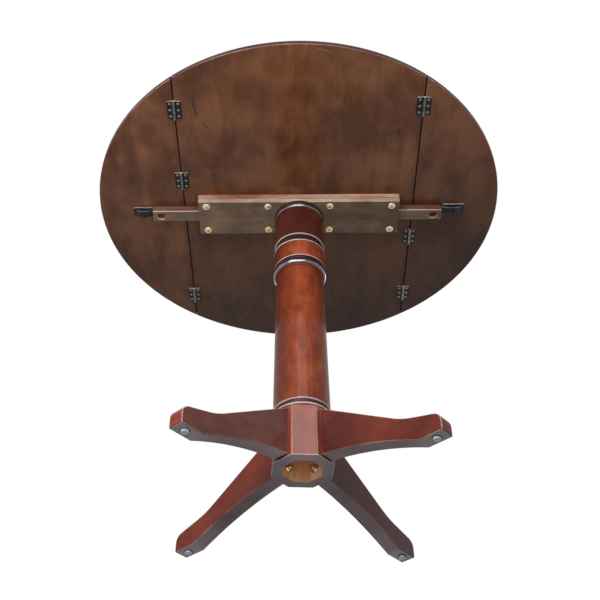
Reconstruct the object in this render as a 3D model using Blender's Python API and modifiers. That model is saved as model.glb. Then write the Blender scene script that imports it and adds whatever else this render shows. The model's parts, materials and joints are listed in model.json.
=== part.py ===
"""Round drop-leaf pedestal table with its leaves up on pull-out supports.

Units are metres, +Z is up, and the floor is at Z = 0 under the centre of the top.
X runs from leaf to leaf and Y along the hinge seams. Left is -X, near is -Y.
"""

import math

import bmesh
import bpy
from mathutils import Matrix, Vector

# Table top
TABLE_HEIGHT = 0.762
TOP_DIAMETER = 0.914
TOP_THICKNESS = 0.019
TOP_EDGE_RADIUS = 0.012
UNDER_EDGE_RADIUS = 0.0015
PANEL_WIDTH = 0.525
SEAM_GAP = 0.0022
SEAM_CHAMFER = 0.0008

# Clearances
SEAT_GAP = 0.0003
HOLE_CLEARANCE = 0.0003
PIN_CLEARANCE = 0.00004

# Butt hinges under the seams
NEAR_HINGE_INSET = {"left": 0.080, "right": 0.073}
FAR_HINGE_INSET = {"left": 0.083, "right": 0.085}
MIDDLE_HINGE_PLACE = {"left": -0.095, "right": 0.087}
HINGE_PLATE_LENGTH = 0.046
HINGE_PLATE_REACH = 0.0147
HINGE_PLATE_THICKNESS = 0.0018
HINGE_BARREL_LENGTH = 0.050
HINGE_BARREL_DIAMETER = 0.0065
HINGE_PIN_DIAMETER = 0.003
HINGE_KNUCKLES = 5
HINGE_SCREW_SPACING = 0.0165
HINGE_SCREW_SETBACK = 0.006
HINGE_SCREW_HEAD = 0.0062
HINGE_SCREW_SHANK = 0.0032

# Pull-out leaf supports and their stops
SLIDE_LENGTH = 0.232
SLIDE_WIDTH = 0.0315
SLIDE_THICKNESS = 0.0185
SLIDE_EDGE = 0.003
SLIDE_REACH = {"left": 0.0735, "right": 0.0660}
FINGER_HOLE_DIAMETER = 0.020
FINGER_HOLE_DEPTH = 0.012
FINGER_HOLE_SETBACK = 0.0197
STOP_LENGTH = {"left": 0.038, "right": 0.0455}
STOP_WIDTH = 0.018
STOP_EDGE = 0.0008
STOP_END_HEIGHT = 0.0072
STOP_CROWN_HEIGHT = 0.0115
STOP_CROWN_SETBACK = 0.018
STOP_OFFSET = {"left": 0.0, "right": -0.0060}
STOP_FLANGE_OVERHANG = 0.0075
STOP_FLANGE_WIDTH = 0.0235
STOP_FLANGE_HEIGHT = 0.0025
STOP_SCREW_SPACING = 0.011
STOP_SCREW_HOLE = 0.0045
STOP_FLOOR = 0.002

# Mounting board and the rails that make the support channel
BOARD_LENGTH = 0.458
BOARD_WIDTH = 0.100
BOARD_THICKNESS = 0.0125
RAIL_HEIGHT = 0.0134
WOOD_EDGE = 0.0015
SCREW_END_INSET = 0.0185
SCREW_INNER_OFFSET = 0.070
SCREW_EDGE_INSET = 0.013
SCREW_HEAD_DIAMETER = 0.017
SCREW_HEAD_HEIGHT = 0.004
SCREW_SHANK_DIAMETER = 0.0045
SCREW_BITE = 0.012

# Pedestal column
PEDESTAL_TURN = math.radians(3.7)
HUB_WIDTH = 0.1126
HUB_BOTTOM = 0.0592
HUB_TOP = 0.1645
HUB_EDGE = 0.0015
BORE_WIDTH = 0.071
RING_HEIGHT = 0.0085
RING_RADIUS = 0.0566
RING_FOOT_RADIUS = 0.0550
RING_COVE_HEIGHT = 0.0090
RING_COVE_RADIUS = 0.0525
SHAFT_BOTTOM_RADIUS = 0.0552
SHAFT_TOP_RADIUS = 0.0505
FILLET_RADIUS = 0.0520
FILLET_HEIGHT = 0.003
BEAD_RADIUS = 0.0570
BEAD_HEIGHT = 0.0145
COVE_RADIUS = 0.0520
COVE_HEIGHT = 0.007
BAND_RADIUS = 0.0548
BAND_HEIGHT = 0.044
LIP_RADIUS = 0.0561
LIP_HEIGHT = 0.010
GROOVE_RADIUS = 0.0525
GROOVE_HEIGHT = 0.012
NECK_RADIUS = 0.0548
NECK_HEIGHT = 0.0845
CAP_RADIUS = 0.0564
CAP_HEIGHT = 0.0170
CAP_GROOVE_RADIUS = 0.0518
CAP_GROOVE_HEIGHT = 0.0015
PLUG_HEIGHT = 0.030

# Lag bolt that draws the column up to the board
LAG_DIAMETER = 0.008
LAG_LENGTH = 0.034
LAG_HEAD_WIDTH = 0.013
LAG_HEAD_HEIGHT = 0.0055
LAG_FLANGE_DIAMETER = 0.020
LAG_FLANGE_HEIGHT = 0.0016

# Legs, measured outward from the column's axis
LEG_REACH = 0.3105
LEG_THICKNESS = 0.030
LEG_EDGE = 0.0015
LEG_ROOT_BOTTOM = 0.0637
LEG_ROOT_TOP = 0.1610
ANKLE_SETBACK = 0.0770
ANKLE_HEIGHT = 0.0575
ANKLE_RADIUS = 0.150
TOE_HEIGHT = 0.0362
TOE_RADIUS = 0.018
HEEL_RADIUS = 0.003
FOOT_LENGTH = 0.0480
ARCH_RISE = 0.0075
GLIDE_SETBACK = 0.0215
GLIDE_HEIGHT = 0.0036
GLIDE_DIAMETER = 0.0145
GLIDE_NAIL_DIAMETER = 0.003
GLIDE_NAIL_LENGTH = 0.016

# Fastening of each leg to the hub
LEG_BOLT_HEIGHT = 0.081
LEG_BOLT_DIAMETER = 0.008
LEG_BOLT_BITE = 0.042
LEG_BOLT_TAIL = 0.011
NUT_WIDTH = 0.013
NUT_HEIGHT = 0.0065
NUT_FLANGE_DIAMETER = 0.018
NUT_FLANGE_HEIGHT = 0.0018
DOWEL_HEIGHT = 0.134
DOWEL_DIAMETER = 0.010
DOWEL_HUB_DEPTH = 0.015
DOWEL_LEG_DEPTH = 0.025

# Smoothness of the round forms
RIM_STEPS = 80
COLUMN_STEPS = 36
BARREL_STEPS = 8
SCREW_STEPS = 8
HEAD_STEPS = 12
DOME_STEPS = 4
STOP_STEPS = 8
HOLE_STEPS = 16
WELD = 0.00001

# Levels and lines that follow from the sizes above
TOP_RADIUS = TOP_DIAMETER / 2
UNDERSIDE = TABLE_HEIGHT - TOP_THICKNESS
SEAM = PANEL_WIDTH / 2
SEAM_HALF_LENGTH = math.sqrt(TOP_RADIUS**2 - SEAM**2)
BARREL_RADIUS = HINGE_BARREL_DIAMETER / 2
PIN_DROP = BARREL_RADIUS + SEAT_GAP
PIN_LEVEL = UNDERSIDE - PIN_DROP
SLIDE_LEVEL = UNDERSIDE - SEAT_GAP - SLIDE_THICKNESS / 2
CHANNEL_FLOOR = UNDERSIDE - SLIDE_THICKNESS - 2 * SEAT_GAP
BOARD_TOP = UNDERSIDE - RAIL_HEIGHT - 2 * SEAT_GAP
BOARD_BOTTOM = BOARD_TOP - BOARD_THICKNESS
COLUMN_TOP = BOARD_BOTTOM - SEAT_GAP
HUB_FLAT = HUB_WIDTH / 2
BORE_FLAT = BORE_WIDTH / 2
LEG_ROOT = HUB_FLAT + SEAT_GAP
OCTAGON_CORNER = 1 / math.cos(math.pi / 8)
SIDES = {"left": -1, "right": 1}
LEG_ANGLES = {"near_left": 225, "near_right": 315, "far_right": 45, "far_left": 135}


def clear_scene():
    for thing in list(bpy.data.objects):
        bpy.data.objects.remove(thing, do_unlink=True)


def new_collection(name):
    collection = bpy.data.collections.new(name)
    bpy.context.scene.collection.children.link(collection)
    return collection


def new_material(name, colour, roughness, metallic=0.0):
    material = bpy.data.materials.new(name)
    material.use_nodes = True
    shader = material.node_tree.nodes["Principled BSDF"]
    shader.inputs["Base Color"].default_value = (*colour, 1.0)
    shader.inputs["Roughness"].default_value = roughness
    shader.inputs["Metallic"].default_value = metallic
    return material


clear_scene()
PARTS = new_collection("drop_leaf_pedestal_table")
CUTTERS = new_collection("cutters")

STAINED_TOP = new_material("stained_top", (0.105, 0.050, 0.028), 0.35)
STAINED_BOARD = new_material("stained_board", (0.200, 0.095, 0.050), 0.40)
MAHOGANY = new_material("mahogany_lacquer", (0.210, 0.042, 0.018), 0.22)
RAW_WOOD = new_material("raw_wood", (0.520, 0.300, 0.130), 0.65)
BRONZE_STEEL = new_material("bronzed_steel", (0.035, 0.030, 0.027), 0.38, 0.85)
YELLOW_ZINC = new_material("yellow_zinc", (0.640, 0.520, 0.230), 0.28, 1.0)
BRIGHT_STEEL = new_material("bright_steel", (0.560, 0.560, 0.550), 0.30, 1.0)
BLACK_PLASTIC = new_material("black_plastic", (0.022, 0.023, 0.024), 0.42)
GREY_PLASTIC = new_material("grey_glide", (0.380, 0.430, 0.500), 0.40)


def add_axis(name, location, turn=0.0):
    """An empty that carries the pieces of one body on its joint's axis."""
    axis = bpy.data.objects.new(name, None)
    axis.location = location
    axis.rotation_euler = (0.0, 0.0, turn)
    axis.empty_display_size = 0.05
    PARTS.objects.link(axis)
    return axis


def add_part(name, mesh, material, parent=None, location=(0, 0, 0), turn=0.0):
    part = bpy.data.objects.new(name, mesh)
    part.location = location
    part.rotation_euler = (0.0, 0.0, turn)
    part.parent = parent
    PARTS.objects.link(part)
    if not mesh.materials:
        mesh.materials.append(material)
    return part


def add_cutter(name, mesh, parent=None):
    cutter = bpy.data.objects.new(name, mesh)
    cutter.parent = parent
    cutter.hide_render = True
    cutter.display_type = "WIRE"
    CUTTERS.objects.link(cutter)
    return cutter


def cut(part, cutter, operation="DIFFERENCE"):
    modifier = part.modifiers.new(cutter.name, "BOOLEAN")
    modifier.operation = operation
    modifier.solver = "EXACT"
    modifier.object = cutter


def soften(part, width, segments=2):
    """Rounds the sharp edges of a piece."""
    modifier = part.modifiers.new("eased_edges", "BEVEL")
    modifier.width = width
    modifier.segments = segments
    modifier.limit_method = "ANGLE"
    modifier.angle_limit = math.radians(35)


def shade_round(mesh, angle=math.radians(35)):
    mesh.shade_smooth()
    mesh.set_sharp_from_angle(angle=angle)


def mesh_from(name, build):
    """A mesh made by a function that fills a bmesh."""
    bm = bmesh.new()
    build(bm)
    mesh = bpy.data.meshes.new(name)
    bm.to_mesh(mesh)
    bm.free()
    return mesh


def add_box(bm, low, high):
    centre = (Vector(low) + Vector(high)) / 2
    size = Vector(high) - Vector(low)
    place = Matrix.Translation(centre) @ Matrix.Diagonal((*size, 1.0))
    bmesh.ops.create_cube(bm, size=1.0, matrix=place)


def add_rod(bm, start, end, radius, steps, end_radius=None):
    """A closed cylinder or cone from one point to another."""
    start, end = Vector(start), Vector(end)
    along = end - start
    turn = along.to_track_quat("Z", "Y").to_matrix().to_4x4()
    bmesh.ops.create_cone(
        bm,
        cap_ends=True,
        segments=steps,
        radius1=radius,
        radius2=radius if end_radius is None else end_radius,
        depth=along.length,
        matrix=Matrix.Translation((start + end) / 2) @ turn,
    )


def box_mesh(name, low, high):
    return mesh_from(name, lambda bm: add_box(bm, low, high))


def octagon_mesh(name, flat, bottom, top):
    """An eight-sided prism round the Z axis, with flats across X and Y."""
    turn = Matrix.Rotation(math.pi / 8, 4, "Z")

    def build(bm):
        add_rod(bm, (0, 0, bottom), (0, 0, top), flat * OCTAGON_CORNER, 8)
        bmesh.ops.transform(bm, matrix=turn, verts=bm.verts)

    return mesh_from(name, build)


def evaluated_mesh(thing):
    """The mesh that an object shows, with its modifiers applied and its seams welded."""
    depsgraph = bpy.context.evaluated_depsgraph_get()
    mesh = bpy.data.meshes.new_from_object(thing.evaluated_get(depsgraph))
    bm = bmesh.new()
    bm.from_mesh(mesh)
    bmesh.ops.remove_doubles(bm, verts=bm.verts, dist=WELD)
    bm.to_mesh(mesh)
    bm.free()
    return mesh


def baked(thing):
    """The finished mesh of a piece that is used more than once; its maker is removed."""
    mesh = evaluated_mesh(thing)
    mesh.name = thing.name
    bpy.data.objects.remove(thing, do_unlink=True)
    return mesh


def turned_mesh(name, profile, steps):
    """Turns a profile of (radius, height) points, from top to bottom, round the Z axis."""
    outline = bpy.data.meshes.new(name)
    points = [(radius, 0.0, height) for radius, height in profile]
    edges = [(i, i + 1) for i in range(len(points) - 1)]
    outline.from_pydata(points, edges, [])
    maker = bpy.data.objects.new(name, outline)
    CUTTERS.objects.link(maker)
    lathe = maker.modifiers.new("lathe", "SCREW")
    lathe.steps = steps
    lathe.render_steps = steps
    lathe.use_merge_vertices = True
    lathe.merge_threshold = WELD
    mesh = baked(maker)
    shade_round(mesh)
    return mesh


def outline_mesh(name, points, thickness, edge):
    """A flat board with a closed outline in X and Z, eased all round, centred on Y."""
    curve = bpy.data.curves.new(name, "CURVE")
    curve.dimensions = "2D"
    curve.fill_mode = "BOTH"
    curve.extrude = thickness / 2 - edge
    curve.bevel_depth = edge
    curve.bevel_resolution = 1
    curve.offset = -edge
    spline = curve.splines.new("POLY")
    spline.points.add(len(points) - 1)
    for point, (x, z) in zip(spline.points, points):
        point.co = (x, z, 0.0, 1.0)
    spline.use_cyclic_u = True
    maker = bpy.data.objects.new(name, curve)
    CUTTERS.objects.link(maker)
    mesh = baked(maker)
    mesh.transform(Matrix.Rotation(math.pi / 2, 4, "X"))
    return mesh


def arc_points(centre, radius, start, end, count):
    """Points on an arc, with its angles in degrees."""
    angles = [math.radians(start + (end - start) * i / count) for i in range(count + 1)]
    return [
        (centre[0] + radius * math.cos(a), centre[1] + radius * math.sin(a)) for a in angles
    ]


def bowed_points(start, end, rise, count):
    """Points on a shallow curve between two points, bowed to the left of its direction."""
    start, end = Vector(start), Vector(end)
    along = end - start
    side = Vector((-along.y, along.x)).normalized()
    steps = [i / count for i in range(count + 1)]
    return [tuple(start + along * s + side * rise * 4 * s * (1 - s)) for s in steps]


def rounded_corner(before, corner, after, radius, count):
    """Points on the arc that rounds one corner of an outline."""
    before, corner, after = Vector(before), Vector(corner), Vector(after)
    inward = (before - corner).normalized()
    onward = (after - corner).normalized()
    half = inward.angle(onward) / 2
    centre = corner + (inward + onward).normalized() * (radius / math.sin(half))
    first = corner + inward * (radius / math.tan(half)) - centre
    last = corner + onward * (radius / math.tan(half)) - centre
    sweep = math.atan2(first.x * last.y - first.y * last.x, first.dot(last))
    turns = [Matrix.Rotation(sweep * i / count, 2) for i in range(count + 1)]
    return [tuple(centre + turn @ first) for turn in turns]


def leaf_axes():
    return {
        side: add_axis(f"{side}_leaf_hinge", (sign * SEAM, 0, PIN_LEVEL))
        for side, sign in SIDES.items()
    }


def slide_axes():
    return {
        side: add_axis(f"{side}_slide_track", (sign * BOARD_LENGTH / 2, 0, SLIDE_LEVEL))
        for side, sign in SIDES.items()
    }


def top_profile():
    """Section of the round top, from its centre over the rim and back underneath."""
    over = arc_points(
        (TOP_RADIUS - TOP_EDGE_RADIUS, TABLE_HEIGHT - TOP_EDGE_RADIUS), TOP_EDGE_RADIUS, 90, 0, 4
    )
    under = [
        (TOP_RADIUS, UNDERSIDE + UNDER_EDGE_RADIUS),
        (TOP_RADIUS - UNDER_EDGE_RADIUS, UNDERSIDE),
    ]
    return [(0, TABLE_HEIGHT), *over, *under, (0, UNDERSIDE)]


def seam_strip(name, low, high, low_is_seam, high_is_seam):
    """The strip of the top between two lines across X, with its seam edges chamfered."""
    room = 2 * TOP_EDGE_RADIUS
    bottom, top = UNDERSIDE - room, TABLE_HEIGHT + room
    chamfer = SEAM_CHAMFER + room

    def build(bm):
        add_box(bm, (low, -TOP_DIAMETER, bottom), (high, TOP_DIAMETER, top))
        seams = [x for x, is_seam in ((low, low_is_seam), (high, high_is_seam)) if is_seam]
        edges = [
            edge
            for edge in bm.edges
            if abs(edge.verts[0].co.y - edge.verts[1].co.y) > TOP_DIAMETER
            and any(abs(edge.verts[0].co.x - x) < WELD for x in seams)
        ]
        bmesh.ops.bevel(bm, geom=edges, offset=chamfer, segments=1, affect="EDGES")

    return add_cutter(name, mesh_from(name, build))


def build_top(leaves, screw_holes):
    """The centre panel and the two leaves, sawn from one round top."""
    inner = SEAM - SEAM_GAP / 2
    outer = SEAM + SEAM_GAP / 2
    beyond = TOP_DIAMETER
    disc = turned_mesh("round_top", top_profile(), RIM_STEPS)
    panel = add_part("centre_panel", disc.copy(), STAINED_TOP)
    cut(panel, seam_strip("panel_strip", -inner, inner, True, True), "INTERSECT")
    cut(panel, screw_holes)
    for side, axis in leaves.items():
        leaf = add_part(f"{side}_leaf", disc.copy(), STAINED_TOP, axis, -axis.location)
        low, high = (-beyond, -outer) if side == "left" else (outer, beyond)
        strip = seam_strip(f"{side}_leaf_strip", low, high, side == "right", side == "left")
        cut(leaf, strip, "INTERSECT")
    bpy.data.meshes.remove(disc)


def knuckle_span(index):
    """Where one knuckle of a hinge barrel starts and ends along Y."""
    step = HINGE_BARREL_LENGTH / HINGE_KNUCKLES
    start = -HINGE_BARREL_LENGTH / 2 + step * index
    return start + SEAT_GAP / 2, start + step - SEAT_GAP / 2


def hinge_plate_mesh(name, knuckles):
    """One plate of a butt hinge, lying on +X of the pin with its knuckles round the pin."""
    plate_top = PIN_DROP - SEAT_GAP
    plate_bottom = plate_top - HINGE_PLATE_THICKNESS
    inner = BARREL_RADIUS + HOLE_CLEARANCE
    half = HINGE_PLATE_LENGTH / 2
    low, high = (inner, -half, plate_bottom), (HINGE_PLATE_REACH, half, plate_top)
    maker = add_part(name, box_mesh(name, low, high), BRONZE_STEEL)

    def barrels(bm):
        for index in knuckles:
            start, end = knuckle_span(index)
            add_rod(bm, (0, start, 0), (0, end, 0), BARREL_RADIUS, BARREL_STEPS)

    def tabs(bm):
        for index in knuckles:
            start, end = knuckle_span(index)
            ends = max(start, -half), min(end, half)
            root = inner + HINGE_PLATE_THICKNESS
            add_box(bm, (BARREL_RADIUS / 2, ends[0], plate_bottom), (root, ends[1], plate_top))

    def bore(bm):
        radius = (HINGE_PIN_DIAMETER / 2 + PIN_CLEARANCE) / math.cos(math.pi / BARREL_STEPS)
        reach = HINGE_BARREL_LENGTH
        add_rod(bm, (0, -reach, 0), (0, reach, 0), radius, BARREL_STEPS)

    def holes(bm):
        x = HINGE_PLATE_REACH - HINGE_SCREW_SETBACK
        for step in (-1, 0, 1):
            y = step * HINGE_SCREW_SPACING
            bottom, top = (x, y, plate_bottom - WELD), (x, y, plate_top + WELD)
            sides = HINGE_SCREW_HEAD / 2, SCREW_STEPS, HINGE_SCREW_SHANK / 2
            add_rod(bm, bottom, top, *sides)

    makers = [
        (tabs, "UNION"),
        (barrels, "UNION"),
        (bore, "DIFFERENCE"),
        (holes, "DIFFERENCE"),
    ]
    cutters = []
    for build, operation in makers:
        cutter = add_cutter(f"{name}_{build.__name__}", mesh_from(name, build))
        cut(maker, cutter, operation)
        cutters.append(cutter)
    mesh = baked(maker)
    for cutter in cutters:
        bpy.data.objects.remove(cutter, do_unlink=True)
    shade_round(mesh)
    return mesh


def build_hinges(leaves):
    """Three butt hinges on each seam; the middle ones stand either side of the supports."""
    even = [i for i in range(HINGE_KNUCKLES) if i % 2 == 0]
    odd = [i for i in range(HINGE_KNUCKLES) if i % 2 == 1]
    panel_plate = hinge_plate_mesh("hinge_panel_plate", even)
    leaf_plate = hinge_plate_mesh("hinge_leaf_plate", odd)
    pin_half = HINGE_BARREL_LENGTH / 2
    pin_radius = HINGE_PIN_DIAMETER / 2
    pin = mesh_from(
        "hinge_pin",
        lambda bm: add_rod(bm, (0, -pin_half, 0), (0, pin_half, 0), pin_radius, BARREL_STEPS),
    )
    shade_round(pin)
    for side, sign in SIDES.items():
        places = {
            "near": NEAR_HINGE_INSET[side] - SEAM_HALF_LENGTH,
            "middle": MIDDLE_HINGE_PLACE[side],
            "far": SEAM_HALF_LENGTH - FAR_HINGE_INSET[side],
        }
        to_panel = math.pi if side == "right" else 0.0
        to_leaf = math.pi - to_panel
        for place, y in places.items():
            name = f"{side}_{place}_hinge"
            spot = (sign * SEAM, y, PIN_LEVEL)
            add_part(f"{name}_panel_plate", panel_plate, BRONZE_STEEL, None, spot, to_panel)
            add_part(f"{name}_pin", pin, BRONZE_STEEL, None, spot)
            on_leaf = (0, y, 0)
            axis = leaves[side]
            add_part(f"{name}_leaf_plate", leaf_plate, BRONZE_STEEL, axis, on_leaf, to_leaf)


def build_slides(tracks):
    """The two pull-out supports, drawn out under the leaves, with their finger holes."""
    half_width = SLIDE_WIDTH / 2
    half_thick = SLIDE_THICKNESS / 2
    maker = add_part(
        "slide",
        box_mesh("slide", (-SLIDE_LENGTH, -half_width, -half_thick), (0, half_width, half_thick)),
        STAINED_BOARD,
    )
    soften(maker, SLIDE_EDGE)
    start = (-FINGER_HOLE_SETBACK, 0, -SLIDE_THICKNESS)
    end = (-FINGER_HOLE_SETBACK, 0, -half_thick + FINGER_HOLE_DEPTH)
    radius = FINGER_HOLE_DIAMETER / 2
    hole = add_cutter(
        "finger_hole", mesh_from("hole", lambda bm: add_rod(bm, start, end, radius, HOLE_STEPS))
    )
    cut(maker, hole)
    mesh = baked(maker)
    bpy.data.objects.remove(hole, do_unlink=True)
    for side, track in tracks.items():
        reach = SEAM + SLIDE_REACH[side] - BOARD_LENGTH / 2
        place = (SIDES[side] * reach, 0, 0)
        turn = 0.0 if side == "right" else math.pi
        add_part(f"{side}_slide", mesh, STAINED_BOARD, track, place, turn)


def stop_outline(length, top):
    """Side outline of a stop block, with its crown nearer its outer end."""
    crown_x = length - STOP_CROWN_SETBACK
    rise = STOP_CROWN_HEIGHT - STOP_END_HEIGHT
    places = [length * i / STOP_STEPS for i in range(STOP_STEPS, -1, -1)]
    crown = []
    for x in places:
        run = STOP_CROWN_SETBACK if x > crown_x else crown_x
        fall = rise * ((x - crown_x) / run) ** 2
        crown.append((x, top - STOP_CROWN_HEIGHT + fall))
    return [(0, top), (length, top), *crown]


def stop_mesh(length):
    """A crowned block on a thin flange, with holes for its two screws."""
    top = PIN_DROP - SEAT_GAP
    body = outline_mesh("stop", stop_outline(length, top), STOP_WIDTH, STOP_EDGE)
    maker = add_part("stop", body, BLACK_PLASTIC)
    flange_low = (STOP_EDGE, -STOP_FLANGE_WIDTH / 2, top - STOP_FLANGE_HEIGHT)
    flange_high = (length + STOP_FLANGE_OVERHANG, STOP_FLANGE_WIDTH / 2, top)
    flange = add_cutter("stop_flange", box_mesh("stop_flange", flange_low, flange_high))
    cut(maker, flange, "UNION")

    def screw_holes(bm):
        crown_x = length - STOP_CROWN_SETBACK
        for step in (-1, 1):
            y = step * STOP_SCREW_SPACING / 2
            low, high = top - 2 * STOP_CROWN_HEIGHT, top - STOP_FLOOR
            add_rod(bm, (crown_x, y, low), (crown_x, y, high), STOP_SCREW_HOLE / 2, SCREW_STEPS)

    holes = add_cutter("stop_screw_holes", mesh_from("holes", screw_holes))
    cut(maker, holes)
    mesh = baked(maker)
    for cutter in (flange, holes):
        bpy.data.objects.remove(cutter, do_unlink=True)
    return mesh


def build_stops(leaves):
    """The blocks under the leaves that the drawn-out supports come to rest against."""
    for side, axis in leaves.items():
        turn = 0.0 if side == "right" else math.pi
        place = (SIDES[side] * (SLIDE_REACH[side] + SEAT_GAP), STOP_OFFSET[side], 0)
        mesh = stop_mesh(STOP_LENGTH[side])
        add_part(f"{side}_slide_stop", mesh, BLACK_PLASTIC, axis, place, turn)


def screw_places():
    """The eight board screws, named by their row and counted from left to right."""
    ends = BOARD_LENGTH / 2 - SCREW_END_INSET
    columns = (-ends, -SCREW_INNER_OFFSET, SCREW_INNER_OFFSET, ends)
    edge = BOARD_WIDTH / 2 - SCREW_EDGE_INSET
    return [
        (f"{row}_board_screw_{number}", (x, y))
        for row, y in (("near", -edge), ("far", edge))
        for number, x in enumerate(columns, start=1)
    ]


def board_screw_holes():
    radius = SCREW_SHANK_DIAMETER / 2 + HOLE_CLEARANCE
    bottom = BOARD_BOTTOM - BOARD_THICKNESS
    top = UNDERSIDE + SCREW_BITE + HOLE_CLEARANCE

    def build(bm):
        for _, (x, y) in screw_places():
            add_rod(bm, (x, y, bottom), (x, y, top), radius, SCREW_STEPS)

    return add_cutter("board_screw_holes", mesh_from("board_screw_holes", build))


def build_board(screw_holes):
    """The mounting board under the panel, its two channel rails and its screws."""
    half_length = BOARD_LENGTH / 2
    half_width = BOARD_WIDTH / 2
    low = (-half_length, -half_width, BOARD_BOTTOM)
    high = (half_length, half_width, BOARD_TOP)
    board = add_part("mounting_board", box_mesh("mounting_board", low, high), STAINED_BOARD)
    soften(board, WOOD_EDGE)
    cut(board, screw_holes)
    radius = LAG_DIAMETER / 2 + HOLE_CLEARANCE
    lag_hole = mesh_from(
        "lag_hole",
        lambda bm: add_rod(
            bm,
            (0, 0, BOARD_BOTTOM - BOARD_THICKNESS),
            (0, 0, BOARD_TOP + BOARD_THICKNESS),
            radius,
            HOLE_STEPS,
        ),
    )
    cut(board, add_cutter("lag_hole", lag_hole))
    channel = SLIDE_WIDTH / 2 + SEAT_GAP
    groove_low = (-BOARD_LENGTH, -channel, CHANNEL_FLOOR)
    groove_high = (BOARD_LENGTH, channel, UNDERSIDE)
    cut(board, add_cutter("channel_groove", box_mesh("channel_groove", groove_low, groove_high)))
    for row, sign in (("near", -1), ("far", 1)):
        edges = sorted((sign * channel, sign * half_width))
        low = (-half_length, edges[0], BOARD_TOP + SEAT_GAP)
        high = (half_length, edges[1], UNDERSIDE - SEAT_GAP)
        name = f"{row}_channel_rail"
        rail = add_part(name, box_mesh(name, low, high), STAINED_BOARD)
        soften(rail, WOOD_EDGE / 2, 1)
        cut(rail, screw_holes)
    seat = BOARD_BOTTOM - SEAT_GAP
    head_radius = SCREW_HEAD_DIAMETER / 2
    shank = SCREW_SHANK_DIAMETER / 2
    tip = UNDERSIDE + SCREW_BITE
    angles = [math.pi / 2 * i / DOME_STEPS for i in range(1, DOME_STEPS)]
    dome = [
        (head_radius * math.cos(a), seat - SCREW_HEAD_HEIGHT * math.sin(a)) for a in angles
    ]
    profile = [
        (0, tip),
        (shank, tip - SCREW_SHANK_DIAMETER),
        (shank, seat),
        (head_radius, seat),
        *dome,
        (0, seat - SCREW_HEAD_HEIGHT),
    ]
    screw = turned_mesh("board_screw", profile, HEAD_STEPS)
    for name, (x, y) in screw_places():
        add_part(name, screw, YELLOW_ZINC, None, (x, y, 0))


def swell_points(top, bottom, above, middle, below, count):
    """A turned bead or cove between two levels, from one radius to another."""
    points = []
    for i in range(count + 1):
        share = i / count
        bulge = math.sqrt(math.sin(math.pi * share))
        base = above + (below - above) * share
        points.append((base + (middle - base) * bulge, top + (bottom - top) * share))
    return points


def column_profile():
    """Turned profile of the column above its octagonal hub, from top to bottom."""
    cap_bottom = COLUMN_TOP - CAP_HEIGHT
    neck_top = cap_bottom - CAP_GROOVE_HEIGHT
    groove_top = neck_top - NECK_HEIGHT
    lip_top = groove_top - GROOVE_HEIGHT
    band_top = lip_top - LIP_HEIGHT
    cove_top = band_top - BAND_HEIGHT
    bead_top = cove_top - COVE_HEIGHT
    fillet_top = bead_top - BEAD_HEIGHT
    shaft_top = fillet_top - FILLET_HEIGHT
    ring_top = HUB_TOP + RING_HEIGHT
    shaft_bottom = ring_top + RING_COVE_HEIGHT
    under_ring = HUB_TOP - 2 * HUB_EDGE
    return [
        (0, COLUMN_TOP),
        *swell_points(COLUMN_TOP, cap_bottom, NECK_RADIUS, CAP_RADIUS, CAP_GROOVE_RADIUS, 6),
        (NECK_RADIUS, neck_top),
        *swell_points(groove_top, lip_top, NECK_RADIUS, GROOVE_RADIUS, GROOVE_RADIUS, 4),
        *swell_points(lip_top, band_top, GROOVE_RADIUS, LIP_RADIUS, BAND_RADIUS, 4)[1:],
        *swell_points(cove_top, bead_top, BAND_RADIUS, COVE_RADIUS, COVE_RADIUS, 3),
        *swell_points(bead_top, fillet_top, COVE_RADIUS, BEAD_RADIUS, FILLET_RADIUS, 5)[1:],
        (FILLET_RADIUS, shaft_top),
        (SHAFT_TOP_RADIUS, shaft_top),
        *swell_points(shaft_bottom, ring_top, SHAFT_BOTTOM_RADIUS, RING_COVE_RADIUS, RING_COVE_RADIUS, 3),
        *swell_points(ring_top, HUB_TOP, RING_COVE_RADIUS, RING_RADIUS, RING_FOOT_RADIUS, 4)[1:],
        (RING_FOOT_RADIUS, under_ring),
        (0, under_ring),
    ]


def leg_direction(angle):
    turn = math.radians(angle)
    return Vector((math.cos(turn), math.sin(turn), 0))


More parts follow.
